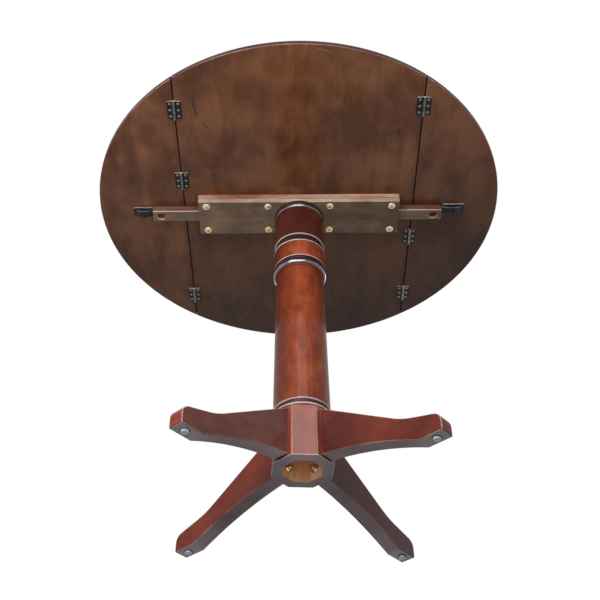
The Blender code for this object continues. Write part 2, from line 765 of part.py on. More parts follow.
def build_column(pedestal):
    """The hollow column: an octagonal hub below, turned above, on a lag bolt and plug."""
    hub = octagon_mesh("hub", HUB_FLAT, HUB_BOTTOM, HUB_TOP)
    column = add_part("column", hub, MAHOGANY, pedestal)
    soften(column, HUB_EDGE)
    turning = turned_mesh("column_turning", column_profile(), COLUMN_STEPS)
    cut(column, add_cutter("column_turning", turning, pedestal), "UNION")
    bore = octagon_mesh("column_bore", BORE_FLAT, HUB_BOTTOM - HUB_WIDTH, COLUMN_TOP + HUB_WIDTH)
    cut(column, add_cutter("column_bore", bore, pedestal))

    def leg_holes(bm):
        for angle in LEG_ANGLES.values():
            out = leg_direction(angle)
            up = Vector((0, 0, 1))
            bolt, dowel = up * LEG_BOLT_HEIGHT, up * DOWEL_HEIGHT
            bolt_radius = LEG_BOLT_DIAMETER / 2 + HOLE_CLEARANCE
            dowel_radius = DOWEL_DIAMETER / 2 + HOLE_CLEARANCE
            blind = HUB_FLAT - DOWEL_HUB_DEPTH - HOLE_CLEARANCE
            inside, outside = out * (BORE_FLAT - HUB_EDGE), out * HUB_WIDTH
            add_rod(bm, inside + bolt, outside + bolt, bolt_radius, SCREW_STEPS)
            add_rod(bm, out * blind + dowel, outside + dowel, dowel_radius, SCREW_STEPS)

    cut(column, add_cutter("leg_holes", mesh_from("leg_holes", leg_holes), pedestal))

    plug_flat = BORE_FLAT - SEAT_GAP
    plug_bottom = COLUMN_TOP - PLUG_HEIGHT
    plug = octagon_mesh("column_top_plug", plug_flat, plug_bottom, COLUMN_TOP)
    plug_part = add_part("column_top_plug", plug, RAW_WOOD, pedestal)
    head_seat = CHANNEL_FLOOR + SEAT_GAP
    tip = head_seat - LAG_LENGTH
    pilot = mesh_from(
        "lag_pilot",
        lambda bm: add_rod(
            bm,
            (0, 0, tip - HOLE_CLEARANCE),
            (0, 0, COLUMN_TOP + PLUG_HEIGHT),
            LAG_DIAMETER / 2 + HOLE_CLEARANCE,
            HOLE_STEPS,
        ),
    )
    cut(plug_part, add_cutter("lag_pilot", pilot, pedestal))
    lag_profile = [
        (0, head_seat + LAG_FLANGE_HEIGHT),
        (LAG_FLANGE_DIAMETER / 2, head_seat + LAG_FLANGE_HEIGHT),
        (LAG_FLANGE_DIAMETER / 2, head_seat),
        (LAG_DIAMETER / 2, head_seat),
        (LAG_DIAMETER / 2, tip + LAG_DIAMETER),
        (0, tip),
    ]
    lag = turned_mesh("column_lag_bolt", lag_profile, HOLE_STEPS)
    lag_part = add_part("column_lag_bolt", lag, BRIGHT_STEEL, pedestal)
    hex_radius = LAG_HEAD_WIDTH / 2 / math.cos(math.pi / 6)
    hex_head = mesh_from(
        "lag_hex",
        lambda bm: add_rod(
            bm,
            (0, 0, head_seat + LAG_FLANGE_HEIGHT / 2),
            (0, 0, head_seat + LAG_FLANGE_HEIGHT + LAG_HEAD_HEIGHT),
            hex_radius,
            6,
        ),
    )
    cut(lag_part, add_cutter("lag_hex", hex_head, pedestal), "UNION")


def leg_outline():
    """Side outline of a leg: a straight brow, an ankle, a rounded toe and a hollow arch."""
    root_top = (LEG_ROOT, LEG_ROOT_TOP)
    root_bottom = (LEG_ROOT, LEG_ROOT_BOTTOM)
    ankle = (LEG_REACH - ANKLE_SETBACK, ANKLE_HEIGHT)
    toe = (LEG_REACH, TOE_HEIGHT)
    heel = (LEG_REACH, GLIDE_HEIGHT)
    sole = (LEG_REACH - FOOT_LENGTH, GLIDE_HEIGHT)
    return [
        root_top,
        *rounded_corner(root_top, ankle, toe, ANKLE_RADIUS, 5),
        *rounded_corner(ankle, toe, heel, TOE_RADIUS, 5),
        *rounded_corner(toe, heel, sole, HEEL_RADIUS, 2),
        *bowed_points(sole, root_bottom, -ARCH_RISE, 9),
    ]


def build_legs(pedestal):
    """Four sawn legs bolted to the hub, each with its bolt, nut, dowel and nailed glide."""
    board = outline_mesh("leg", leg_outline(), LEG_THICKNESS, LEG_EDGE)
    maker = add_part("leg", board, MAHOGANY)
    glide_x = LEG_REACH - GLIDE_SETBACK
    bolt_end = LEG_ROOT + LEG_BOLT_BITE
    dowel_end = HUB_FLAT + DOWEL_LEG_DEPTH
    nail_top = GLIDE_HEIGHT + GLIDE_NAIL_LENGTH

    def holes(bm):
        bolt, dowel = Vector((0, 0, LEG_BOLT_HEIGHT)), Vector((0, 0, DOWEL_HEIGHT))
        out = Vector((1, 0, 0))
        inside = out * BORE_FLAT
        deep_bolt = out * (bolt_end + HOLE_CLEARANCE)
        deep_dowel = out * (dowel_end + HOLE_CLEARANCE)
        bolt_radius = LEG_BOLT_DIAMETER / 2 + HOLE_CLEARANCE
        dowel_radius = DOWEL_DIAMETER / 2 + HOLE_CLEARANCE
        nail_radius = GLIDE_NAIL_DIAMETER / 2 + HOLE_CLEARANCE
        add_rod(bm, inside + bolt, deep_bolt + bolt, bolt_radius, SCREW_STEPS)
        add_rod(bm, inside + dowel, deep_dowel + dowel, dowel_radius, SCREW_STEPS)
        add_rod(
            bm, (glide_x, 0, 0), (glide_x, 0, nail_top + HOLE_CLEARANCE), nail_radius, SCREW_STEPS
        )

    cutter = add_cutter("leg_fastener_holes", mesh_from("leg_fastener_holes", holes))
    cut(maker, cutter)
    leg = baked(maker)
    bpy.data.objects.remove(cutter, do_unlink=True)

    bolt_start = BORE_FLAT - LEG_BOLT_TAIL
    bolt = mesh_from(
        "leg_bolt",
        lambda bm: add_rod(
            bm,
            (bolt_start, 0, LEG_BOLT_HEIGHT),
            (bolt_end, 0, LEG_BOLT_HEIGHT),
            LEG_BOLT_DIAMETER / 2,
            SCREW_STEPS,
        ),
    )
    dowel = mesh_from(
        "leg_dowel",
        lambda bm: add_rod(
            bm,
            (HUB_FLAT - DOWEL_HUB_DEPTH, 0, DOWEL_HEIGHT),
            (dowel_end, 0, DOWEL_HEIGHT),
            DOWEL_DIAMETER / 2,
            SCREW_STEPS,
        ),
    )
    nut = nut_mesh()
    glide = glide_mesh(nail_top)
    for place, angle in LEG_ANGLES.items():
        turn = math.radians(angle)
        add_part(f"{place}_leg", leg, MAHOGANY, pedestal, turn=turn)
        add_part(f"{place}_leg_bolt", bolt, BRIGHT_STEEL, pedestal, turn=turn)
        add_part(f"{place}_leg_nut", nut, BRIGHT_STEEL, pedestal, turn=turn)
        add_part(f"{place}_leg_dowel", dowel, RAW_WOOD, pedestal, turn=turn)
        foot = Matrix.Rotation(turn, 3, "Z") @ Vector((glide_x, 0, 0))
        add_part(f"{place}_glide", glide, GREY_PLASTIC, pedestal, foot)


def nut_mesh():
    """A flanged hex nut on the bolt's tail, seated on the inner flat of the hub."""
    seat = BORE_FLAT - SEAT_GAP
    flange_end = seat - NUT_FLANGE_HEIGHT
    hex_end = seat - NUT_HEIGHT
    level = LEG_BOLT_HEIGHT
    flange = mesh_from(
        "flange",
        lambda bm: add_rod(
            bm, (flange_end, 0, level), (seat, 0, level), NUT_FLANGE_DIAMETER / 2, HOLE_STEPS
        ),
    )
    hexagon = mesh_from(
        "hexagon",
        lambda bm: add_rod(
            bm,
            (hex_end, 0, level),
            (seat - NUT_FLANGE_HEIGHT / 2, 0, level),
            NUT_WIDTH / 2 / math.cos(math.pi / 6),
            6,
        ),
    )
    thread = mesh_from(
        "thread",
        lambda bm: add_rod(
            bm,
            (0, 0, level),
            (HUB_FLAT, 0, level),
            LEG_BOLT_DIAMETER / 2 + HOLE_CLEARANCE,
            SCREW_STEPS,
        ),
    )
    maker = add_part("nut", flange, BRIGHT_STEEL)
    body, hole = add_cutter("nut_hexagon", hexagon), add_cutter("nut_thread", thread)
    cut(maker, body, "UNION")
    cut(maker, hole)
    mesh = baked(maker)
    for cutter in (body, hole):
        bpy.data.objects.remove(cutter, do_unlink=True)
    return mesh


def glide_mesh(nail_top):
    """A nail-on foot glide with a rounded rim, standing on the floor."""
    radius = GLIDE_DIAMETER / 2
    nail = GLIDE_NAIL_DIAMETER / 2
    seat = GLIDE_HEIGHT - SEAT_GAP
    rim = arc_points((radius - GLIDE_HEIGHT / 3, GLIDE_HEIGHT / 3), GLIDE_HEIGHT / 3, 0, -90, 2)
    profile = [
        (0, nail_top),
        (nail, nail_top - GLIDE_NAIL_DIAMETER),
        (nail, seat),
        (radius, seat),
        *rim,
        (0, 0),
    ]
    return turned_mesh("glide", profile, HEAD_STEPS)


def build_table():
    leaves = leaf_axes()
    tracks = slide_axes()
    pedestal = add_axis("pedestal_axis", (0, 0, 0), PEDESTAL_TURN)
    screw_holes = board_screw_holes()
    build_top(leaves, screw_holes)
    build_hinges(leaves)
    build_slides(tracks)
    build_stops(leaves)
    build_board(screw_holes)
    build_column(pedestal)
    build_legs(pedestal)


build_table()
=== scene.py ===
"""Looks of the drop-leaf pedestal table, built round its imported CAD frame.

Units are metres and +Z is up. Left is -X and near is -Y, as in the CAD source.
"""

import json
from math import atan2, cos, pi, radians, sin, sqrt, tan, tau

import bmesh
import bpy
from mathutils import Matrix, Vector

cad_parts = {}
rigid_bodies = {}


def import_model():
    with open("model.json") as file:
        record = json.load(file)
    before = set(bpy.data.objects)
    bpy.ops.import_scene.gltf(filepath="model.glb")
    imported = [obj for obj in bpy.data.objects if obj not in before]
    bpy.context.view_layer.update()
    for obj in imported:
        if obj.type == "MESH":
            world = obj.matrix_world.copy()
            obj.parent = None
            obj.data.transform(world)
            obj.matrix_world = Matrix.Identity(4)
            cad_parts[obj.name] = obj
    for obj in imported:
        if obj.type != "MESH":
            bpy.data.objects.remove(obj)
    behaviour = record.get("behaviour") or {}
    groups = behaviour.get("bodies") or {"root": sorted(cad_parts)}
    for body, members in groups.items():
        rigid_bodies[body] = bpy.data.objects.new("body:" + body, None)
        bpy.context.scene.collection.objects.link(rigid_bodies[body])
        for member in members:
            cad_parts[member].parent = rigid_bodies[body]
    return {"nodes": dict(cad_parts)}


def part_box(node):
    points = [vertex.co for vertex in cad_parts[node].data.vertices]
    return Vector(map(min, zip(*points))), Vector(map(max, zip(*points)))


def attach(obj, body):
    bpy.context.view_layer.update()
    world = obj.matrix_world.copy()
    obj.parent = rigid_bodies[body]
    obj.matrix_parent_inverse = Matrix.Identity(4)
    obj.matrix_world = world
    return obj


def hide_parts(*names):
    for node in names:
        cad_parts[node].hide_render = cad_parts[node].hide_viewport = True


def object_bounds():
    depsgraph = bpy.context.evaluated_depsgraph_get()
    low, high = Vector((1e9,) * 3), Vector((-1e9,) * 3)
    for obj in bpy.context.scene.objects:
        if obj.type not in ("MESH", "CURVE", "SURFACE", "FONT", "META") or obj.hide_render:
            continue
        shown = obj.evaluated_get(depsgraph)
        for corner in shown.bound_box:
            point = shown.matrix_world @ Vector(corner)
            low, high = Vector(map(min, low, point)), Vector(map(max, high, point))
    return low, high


for thing in list(bpy.data.objects):
    bpy.data.objects.remove(thing, do_unlink=True)

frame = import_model()
CAD_LOW, CAD_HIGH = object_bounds()
NODES = frame["nodes"]
SIDES = {"left": -1, "right": 1}
LEG_ANGLES = {"near_left": 225, "near_right": 315, "far_right": 45, "far_left": 135}

# Sizes of the replaced pieces, as in the CAD source
TOP_RADIUS = 0.457
TOP_EDGE_RADIUS = 0.012
UNDER_EDGE_RADIUS = 0.0015
SEAM_CHAMFER = 0.0008
HINGE_PLATE_THICKNESS = 0.0018
HINGE_SCREW_OFFSET = 0.0087
HINGE_SCREW_SPACING = 0.0165
SLIDE_EDGE = 0.003
FINGER_HOLE_RADIUS = 0.01
FINGER_HOLE_DEPTH = 0.012
FINGER_HOLE_SETBACK = 0.0197
STOP_WIDTH = 0.018
STOP_END_HEIGHT = 0.0072
STOP_CROWN_HEIGHT = 0.0115
STOP_CROWN_SETBACK = 0.018
STOP_FLANGE_OVERHANG = 0.0075
STOP_FLANGE_HEIGHT = 0.0025
STOP_SCREW_SPACING = 0.011
STOP_SCREW_HOLE_RADIUS = 0.00225
STOP_FLOOR = 0.002
SCREW_HEAD_HEIGHT = 0.004
SCREW_SHANK_RADIUS = 0.00225
PEDESTAL_TURN = radians(3.7)
HUB_FLAT = 0.0563
HUB_BOTTOM = 0.0592
HUB_TOP = 0.1645
HUB_EDGE = 0.0015
BORE_FLAT = 0.0355
RING_HEIGHT = 0.0085
RING_RADIUS = 0.0566
RING_FOOT_RADIUS = 0.055
RING_COVE_HEIGHT = 0.009
RING_COVE_RADIUS = 0.0525
SHAFT_BOTTOM_RADIUS = 0.0552
SHAFT_TOP_RADIUS = 0.0505
FILLET_RADIUS = 0.052
BEAD_RADIUS = 0.057
COVE_RADIUS = 0.052
BAND_RADIUS = 0.0548
LIP_RADIUS = 0.0561
GROOVE_RADIUS = 0.0525
NECK_RADIUS = 0.0548
CAP_RADIUS = 0.0564
CAP_GROOVE_RADIUS = 0.0518
TURNING_HEIGHTS = {
    "cap": 0.017, "cap_groove": 0.0015, "neck": 0.0845, "groove": 0.012, "lip": 0.01, "band": 0.044,
    "cove": 0.007, "bead": 0.0145, "fillet": 0.003,
}
LEG_REACH = 0.3105
LEG_THICKNESS = 0.03
LEG_ROOT = 0.0566
LEG_ROOT_TOP = 0.161
LEG_ROOT_BOTTOM = 0.0637
ANKLE_SETBACK = 0.077
ANKLE_HEIGHT = 0.0575
ANKLE_RADIUS = 0.15
TOE_HEIGHT = 0.0362
TOE_RADIUS = 0.018
HEEL_RADIUS = 0.003
FOOT_LENGTH = 0.048
ARCH_RISE = 0.0075
SOLE_HEIGHT = 0.0036
GLIDE_RADIUS = 0.00725
LEG_BOLT_HEIGHT = 0.081
LEG_BOLT_HOLE_RADIUS = 0.0043

# Finer sizes of the dressed pieces. A small cross is given in shares of its screw
SEAM_LIP = 0.0007
SEAM_LIP_HEIGHT = 0.004
SEAM_SHADE_WIDTH = 0.0005
CAP_SHOULDER = 0.0055
RUBBED_WIDTH = 0.0019
LEG_EDGE = 0.0014
GLIDE_RING = 0.0014
FINGER_HOLE_RIM = 0.0007
STOP_EDGE = 0.0009
STOP_FLANGE_CORNER = 0.003
STOP_FLANGE_EDGE = 0.0006
STOP_SCREW_RADIUS = 0.0021
STOP_SCREW_DROP = 0.0016
HINGE_SCREW_RADIUS = 0.0029
SMALL_SCREW_DEPTH = 0.0015
SMALL_SCREW_DOME = 0.00035
SCREW_BRIM = 0.0006
SCREW_TIP = 0.0045
CROSS_ARM = 0.004
CROSS_WIDTH = 0.0014
CROSS_DEPTH = 0.0022
CROSS_ROOM = 0.0002
SMALL_CROSS_ROOM = 0.0005
CROSS_TAPER = 0.45
SMALL_CROSS_ARM = 0.62
SMALL_CROSS_WIDTH = 0.24
SMALL_CROSS_DEPTH = 0.6
BARREL_LINE = 0.0016

# How far a cutter passes through what it cuts
CUT_ROOM = 0.01

# Smoothness of the round forms
RIM_STEPS = 240
COLUMN_STEPS = 120
STOP_STEPS = 28
ARCH_STEPS = 24
WELD = 1e-6
CAD_WELD = 1e-5
CAD_SHARP_ANGLE = 46

PANEL_LOW, PANEL_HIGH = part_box("centre_panel")
UNDERSIDE, TABLE_TOP = PANEL_LOW.z, PANEL_HIGH.z
COLUMN_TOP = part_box("column")[1].z


# Node helpers

def feed(tree, node, inputs):
    """Links or sets a node's inputs. Another node stands for its first output."""
    for key, value in inputs.items():
        if isinstance(value, bpy.types.Node):
            value = value.outputs[0]
        if isinstance(value, bpy.types.NodeSocket):
            tree.links.new(value, node.inputs[key])
        else:
            node.inputs[key].default_value = value


def add(tree, kind, inputs=None, **props):
    node = tree.nodes.new(kind)
    for key, value in props.items():
        setattr(node, key, value)
    feed(tree, node, inputs or {})
    return node


def calc(tree, operation, *values):
    return add(tree, "ShaderNodeMath", dict(enumerate(values)), operation=operation)


def times(tree, first, second):
    return calc(tree, "MULTIPLY", first, second)


def vector_calc(tree, operation, *values, output="Vector"):
    return add(tree, "ShaderNodeVectorMath", dict(enumerate(values)), operation=operation).outputs[output]


def scaled(tree, vector, share):
    return add(tree, "ShaderNodeVectorMath", {0: vector, "Scale": share}, operation="SCALE")


def split_xyz(tree, vector):
    return add(tree, "ShaderNodeSeparateXYZ", {0: vector}).outputs


def weighted(tree, first, share, second):
    """A share of one value, with the rest from another."""
    rest = times(tree, second, 1.0 - share)
    return calc(tree, "ADD", times(tree, first, share), rest)


def off_middle(tree, value, factor):
    """How far a noise value is from its middle, times a factor."""
    return times(tree, calc(tree, "SUBTRACT", value, 0.5), factor)


def mix(tree, factor, first, second):
    return add(tree, "ShaderNodeMix", {0: factor, 6: first, 7: second}, data_type="RGBA").outputs[2]


def fade(tree, value, low, high, out_low=0.0, out_high=1.0):
    """A value mapped smoothly from one range to another."""
    inputs = {"Value": value, "From Min": low, "From Max": high, "To Min": out_low, "To Max": out_high}
    return add(tree, "ShaderNodeMapRange", inputs, interpolation_type="SMOOTHSTEP")


def ramp(tree, factor, places, palette):
    node = add(tree, "ShaderNodeValToRGB", {"Fac": factor})
    elements = node.color_ramp.elements
    while len(elements) < len(places):
        elements.new(0.5)
    for element, place, colour in zip(elements, places, palette):
        element.position = place
        element.color = (*colour, 1.0)
    return node.outputs["Color"]


def noise(tree, vector, scale, detail=3.0, roughness=0.55, distortion=0.0):
    inputs = {"Vector": vector, "Scale": scale, "Detail": detail, "Roughness": roughness}
    inputs["Distortion"] = distortion
    return add(tree, "ShaderNodeTexNoise", inputs).outputs["Fac"]


def stretched(tree, vector, scale):
    return add(tree, "ShaderNodeMapping", {"Vector": vector, "Scale": scale})


def new_material(name):
    material = bpy.data.materials.new(name)
    material.use_nodes = True
    tree = material.node_tree
    return material, tree, tree.nodes["Principled BSDF"]


def own_coordinates(tree):
    """A piece's coordinates, and the same moved by its own amount, so that no two look alike."""
    place = add(tree, "ShaderNodeTexCoord").outputs["Object"]
    chance = add(tree, "ShaderNodeObjectInfo").outputs["Random"]
    return place, vector_calc(tree, "ADD", place, scaled(tree, (3.7, 5.3, 2.9), chance))


def set_bump(tree, shader, height, strength, distance):
    bump = add(tree, "ShaderNodeBump", {"Height": height, "Strength": strength, "Distance": distance})
    feed(tree, shader, {"Normal": bump})


def board_tint(tree, across, width, spread):
    """A shade for each glued board or stave, and a thin dark line at each joint."""
    along = calc(tree, "DIVIDE", across, width)
    index = calc(tree, "FLOOR", along)
    chance = add(tree, "ShaderNodeTexWhiteNoise", {"W": index}, noise_dimensions="1D").outputs["Value"]
    shade = fade(tree, chance, 0.0, 1.0, 1.0 - spread, 1.0 + spread)
    edge = calc(tree, "PINGPONG", along, 0.5)
    joint = fade(tree, edge, 0.0, 0.01, 1.0, 0.0)
    return shade, joint


def mark(tree, place, start, end, width):
    """A worn streak between two points of the underside, with a ragged edge."""
    start, end = Vector((*start, UNDERSIDE)), Vector((*end, UNDERSIDE))
    along = end - start
    from_start = vector_calc(tree, "SUBTRACT", place, tuple(start))
    direction = tuple(along / along.length_squared)
    share = vector_calc(tree, "DOT_PRODUCT", from_start, direction, output="Value")
    share = calc(tree, "MINIMUM", calc(tree, "MAXIMUM", share, 0.0), 1.0)
    apart = vector_calc(tree, "SUBTRACT", from_start, scaled(tree, tuple(along), share))
    far = vector_calc(tree, "LENGTH", apart, output="Value")
    rough = noise(tree, place, 420.0, detail=2.0)
    ragged = times(tree, far, fade(tree, rough, 0.3, 0.7, 0.4, 3.4))
    return fade(tree, ragged, width * 0.35, width, 1.0, 0.0)


def wood(
    name, palette, grain="X", boards=None, spread=0.1, blotch=1.0, pores=0.1, contrast=0.45, bump=0.03,
    roughness=(0.4, 0.55), specular=0.05, coat=None, marks=(), side_tone_and_light=None, painted_shade=None, patches=9.0,
):
    """Stained wood: fibres along one axis, figure, open pores, blotches and glued boards, with painted shade
    along a direction and a tone of its own on faces along Y.
    """
    material, tree, shader = new_material(name)
    place, own = own_coordinates(tree)

    def along(share):
        scale = [1.0, 1.0, 1.0]
        scale["XYZ".index(grain)] = share
        return stretched(tree, own, tuple(scale))

    figure = noise(tree, along(0.14), 26.0, detail=4.0, roughness=0.6, distortion=1.1)
    fibre = noise(tree, along(0.035), 210.0, detail=6.0, roughness=0.65, distortion=0.3)
    cloud = noise(tree, own, patches, roughness=0.6)
    smear = noise(tree, along(0.45), patches * 3.8, roughness=0.6, distortion=0.5)
    pore = fade(tree, noise(tree, along(0.05), 620.0, detail=2.0, roughness=0.5), 0.6, 0.7)
    tone = calc(tree, "ADD", off_middle(tree, weighted(tree, figure, 0.55, fibre), contrast), 0.5)
    tone = calc(tree, "ADD", tone, off_middle(tree, weighted(tree, cloud, 0.6, smear), blotch))
    colour = ramp(tree, tone, (0.32, 0.5, 0.68), palette)
    dark = (*(c * 0.35 for c in palette[0]), 1.0)
    colour = mix(tree, times(tree, pore, pores), colour, dark)
    if boards:
        kind, width, first = boards
        parts = split_xyz(tree, place)
        counted = calc(tree, "ARCTAN2", parts[1], parts[0]) if kind == "ROUND" else parts[kind]
        shade, joint = board_tint(tree, calc(tree, "ADD", counted, first), width, spread)
        colour = mix(tree, times(tree, joint, 0.35), scaled(tree, colour, shade), dark)
    # Painted shade: the colour darkens along a direction, with a ragged drift
    if painted_shade:
        depth, direction, start, end = painted_shade
        across = vector_calc(tree, "DOT_PRODUCT", place, direction, output="Value")
        drift = calc(tree, "ADD", across, off_middle(tree, cloud, 0.4 * (end - start)))
        colour = scaled(tree, colour, fade(tree, drift, start, end, 1.0, 1.0 - depth))
    # Faces along Y get a tone of their own; on the legs it is painted light and shade
    if side_tone_and_light:
        facing = add(tree, "ShaderNodeTexCoord").outputs["Normal"]
        sideways = calc(tree, "ABSOLUTE", split_xyz(tree, facing)[1])
        side_toned = ramp(tree, tone, (0.3, 0.5, 0.7), side_tone_and_light)
        colour = mix(tree, fade(tree, sideways, 0.55, 0.9), colour, side_toned)
    for start, end, width, strength, stain in marks:
        worn = times(tree, mark(tree, place, start, end, width), strength)
        colour = mix(tree, worn, colour, (*stain, 1.0))
    gloss = fade(tree, weighted(tree, cloud, 0.6, fibre), 0.3, 0.7, *roughness)
    feed(tree, shader, {"Base Color": colour, "Roughness": gloss, "Specular IOR Level": specular})
    if coat:
        feed(tree, shader, dict(zip(("Coat Weight", "Coat Roughness", "Coat IOR"), coat)))
    height = calc(tree, "SUBTRACT", fibre, times(tree, pore, 0.8))
    set_bump(tree, shader, height, bump, 0.0004)
    return material


def tinted(palette, tone):
    return tuple(tuple(c * t for c, t in zip(colour, tone)) for colour in palette)


def metal(name, colour, worn, roughness, scale=300.0, amount=0.6, metallic=1.0):
    """Plated or bronzed steel with worn patches, fine scratches and polish that varies."""
    material, tree, shader = new_material(name)
    own = own_coordinates(tree)[1]
    patch = noise(tree, own, scale, detail=4.0, roughness=0.65)
    fine = noise(tree, stretched(tree, own, (1.0, 0.15, 1.0)), scale * 7, roughness=0.6)
    rubbed = fade(tree, weighted(tree, patch, 0.7, fine), 0.48, 0.66)
    colour = mix(tree, times(tree, rubbed, amount), (*colour, 1.0), (*worn, 1.0))
    gloss = fade(tree, patch, 0.3, 0.7, *roughness)
    feed(tree, shader, {"Base Color": colour, "Roughness": gloss, "Metallic": metallic})
    set_bump(tree, shader, fine, 0.1, 0.0001)
    return material


def plastic(name, colour, pale, roughness, scale=900.0, specular=0.5):
    """Moulded plastic with a fine pebbled skin, scuffs and dust."""
    material, tree, shader = new_material(name)
    own = own_coordinates(tree)[1]
    pebble = noise(tree, own, scale, detail=2.0, roughness=0.5)
    drawn = noise(tree, stretched(tree, own, (0.3, 1.0, 1.0)), 160.0, detail=4.0, roughness=0.7)
    scuff = fade(tree, drawn, 0.52, 0.72)
    colour = mix(tree, times(tree, scuff, 0.35), (*colour, 1.0), (*pale, 1.0))
    gloss = fade(tree, scuff, 0.0, 1.0, *roughness)
    feed(tree, shader, {"Base Color": colour, "Roughness": gloss, "Specular IOR Level": specular})
    set_bump(tree, shader, pebble, 0.15, 0.0001)
    return material


# Coats, as (weight, roughness, refraction)
LACQUER = (0.28, 0.08, 1.42)
TOP_COAT = (0.12, 0.38, 1.4)
SATIN = (0.3, 0.12, 1.4)
DULL = (0.06, 0.15, 1.4)
POLISH = (1.0, 0.14, 2.2)
UNDER_GLOSS = (0.5, 0.1, 1.5)
GLOSS = (0.9, 0.15, 1.42)

# Dark, middle and light tones of each stain, and of the painted light and shade marked below
MAHOGANY = ((0.12, 0.019, 0.008), (0.185, 0.034, 0.012), (0.25, 0.054, 0.018))
DARK_MAHOGANY = ((0.072, 0.012, 0.008), (0.115, 0.022, 0.014), (0.16, 0.036, 0.022))
# Lighter arrises: partly wear, partly painted highlight
WORN_AND_HIGHLIGHT_MAHOGANY = ((0.19, 0.085, 0.068), (0.29, 0.15, 0.122), (0.4, 0.24, 0.205))
# Painted shade under the polish, on the lower halves of the cap and bead
RING_PAINTED_SHADE = ((0.014, 0.009, 0.009), (0.022, 0.014, 0.014), (0.034, 0.02, 0.019))
# Painted shade in the grooves and coves of the turning and round the glides
GROOVE_PAINTED_SHADE = ((0.02, 0.009, 0.008), (0.034, 0.015, 0.013), (0.052, 0.023, 0.019))
# Pale painted highlight lines on the arrises of the turning
PAINTED_HIGHLIGHT_LINE = ((0.44, 0.32, 0.32), (0.57, 0.44, 0.44), (0.7, 0.57, 0.58))
# The undersides of legs and hub are pale grey: painted sheen and light
SOLE_PAINTED_SHEEN = ((0.19, 0.135, 0.141), (0.277, 0.202, 0.212), (0.364, 0.275, 0.287))
BROWN = ((0.112, 0.038, 0.016), (0.182, 0.066, 0.028), (0.26, 0.1, 0.044))
BOARD = ((0.145, 0.088, 0.055), (0.225, 0.143, 0.093), (0.32, 0.212, 0.14))
BOARD_SIDE_TONE = ((0.35, 0.18, 0.104), (0.49, 0.312, 0.211), (0.615, 0.445, 0.327))
RAIL_SIDE_TONE = ((0.25, 0.103, 0.056), (0.435, 0.229, 0.145), (0.575, 0.364, 0.258))
# Near black painted shade on the seam walls between leaves and panel
SEAM_PAINTED_SHADE = ((0.004, 0.003, 0.002), (0.007, 0.005, 0.004), (0.012, 0.008, 0.006))
# The rim's side is near black: painted shade
EDGE = ((0.022, 0.011, 0.01), (0.036, 0.018, 0.016), (0.056, 0.029, 0.025))
# The neck is darker: painted shade where the table top shades it
NECK_PAINTED_SHADE = ((0.052, 0.011, 0.008), (0.084, 0.019, 0.011), (0.118, 0.029, 0.016))
# The band is lighter: painted light
BAND_PAINTED_LIGHT = ((0.155, 0.028, 0.012), (0.24, 0.05, 0.018), (0.32, 0.078, 0.027))
SLIDE_SIDE = ((0.1, 0.036, 0.025), (0.16, 0.064, 0.045), (0.22, 0.105, 0.078))
# A pale line on the slides' rounded lower edges: painted highlight
SLIDE_ARRIS_HIGHLIGHT = ((0.3, 0.2, 0.16), (0.42, 0.31, 0.26), (0.52, 0.4, 0.34))
RAW = ((0.69, 0.345, 0.15), (0.89, 0.52, 0.26), (0.96, 0.68, 0.41))
# Painted shade inside the finger holes; the dowels share it
RAW_HOLE_PAINTED_SHADE = ((0.18, 0.09, 0.035), (0.33, 0.185, 0.08), (0.48, 0.3, 0.14))
# Painted highlight on the finger holes' chamfered rims
RAW_RIM_PAINTED_HIGHLIGHT = ((0.42, 0.27, 0.14), (0.6, 0.43, 0.25), (0.74, 0.58, 0.38))
SCRATCH = (0.02, 0.012, 0.009)
PALE_SCUFF = (0.42, 0.34, 0.28)
HUB_SOLE_SHEEN_TONE = (0.72, 0.76, 0.78)
# Painted light and shade on each leg, sides and ends tinted apart: the far-right leg darker, the far-left
# brighter, the near-left sides greyer as painted sheen and its end brighter
LEG_SIDE_LIGHT_AND_SHADE = {
    "near_left": (1.0, 1.55, 1.9),
    "near_right": (0.9, 0.75, 0.65),
    "far_right": (0.55, 0.6, 0.75),
    "far_left": (1.22, 0.95, 0.7),
}
LEG_END_LIGHT_AND_SHADE = {**LEG_SIDE_LIGHT_AND_SHADE, "near_left": (1.45, 0.95, 0.7)}

# Marks, as (start, end, width, strength, colour)
UNDER_MARKS = [
    ((-0.2208, -0.324), (-0.2221, -0.306), 0.003, 0.85, SCRATCH),
    ((-0.2221, -0.306), (-0.217, -0.277), 0.0036, 0.95, SCRATCH),
    ((-0.206, -0.256), (-0.191, -0.243), 0.0034, 0.6, SCRATCH),
    ((0.2153, -0.238), (0.216, -0.226), 0.008, 0.7, SCRATCH),
    ((0.0359, -0.446), (0.064, -0.437), 0.0024, 0.35, PALE_SCUFF),
    ((0.3764, -0.167), (0.4117, -0.1665), 0.0016, 0.3, PALE_SCUFF),
]

# Painted shade, darker along a direction, as (depth, direction, start, end)
FAR_SIDE_PAINTED_SHADE = (0.68, (0.4, 0.92, 0.0), -0.24, 0.46)
RIGHT_END_PAINTED_SHADE = (0.3, (1.0, 0.3, 0.0), -0.12, 0.16)
LEFT_SIDE_PAINTED_SHADE = (0.55, (-1.0, 0.0, 0.0), 0.004, 0.054)

# Glued boards: the axis they are counted along, their width, and a shift that keeps the count above zero
BOARDED = {"grain": "Y", "boards": ("X", 0.0875, 2.02)}
TURNED = {"grain": "Z", "boards": ("ROUND", tau / 8, PEDESTAL_TURN + 10 * tau + pi / 8)}
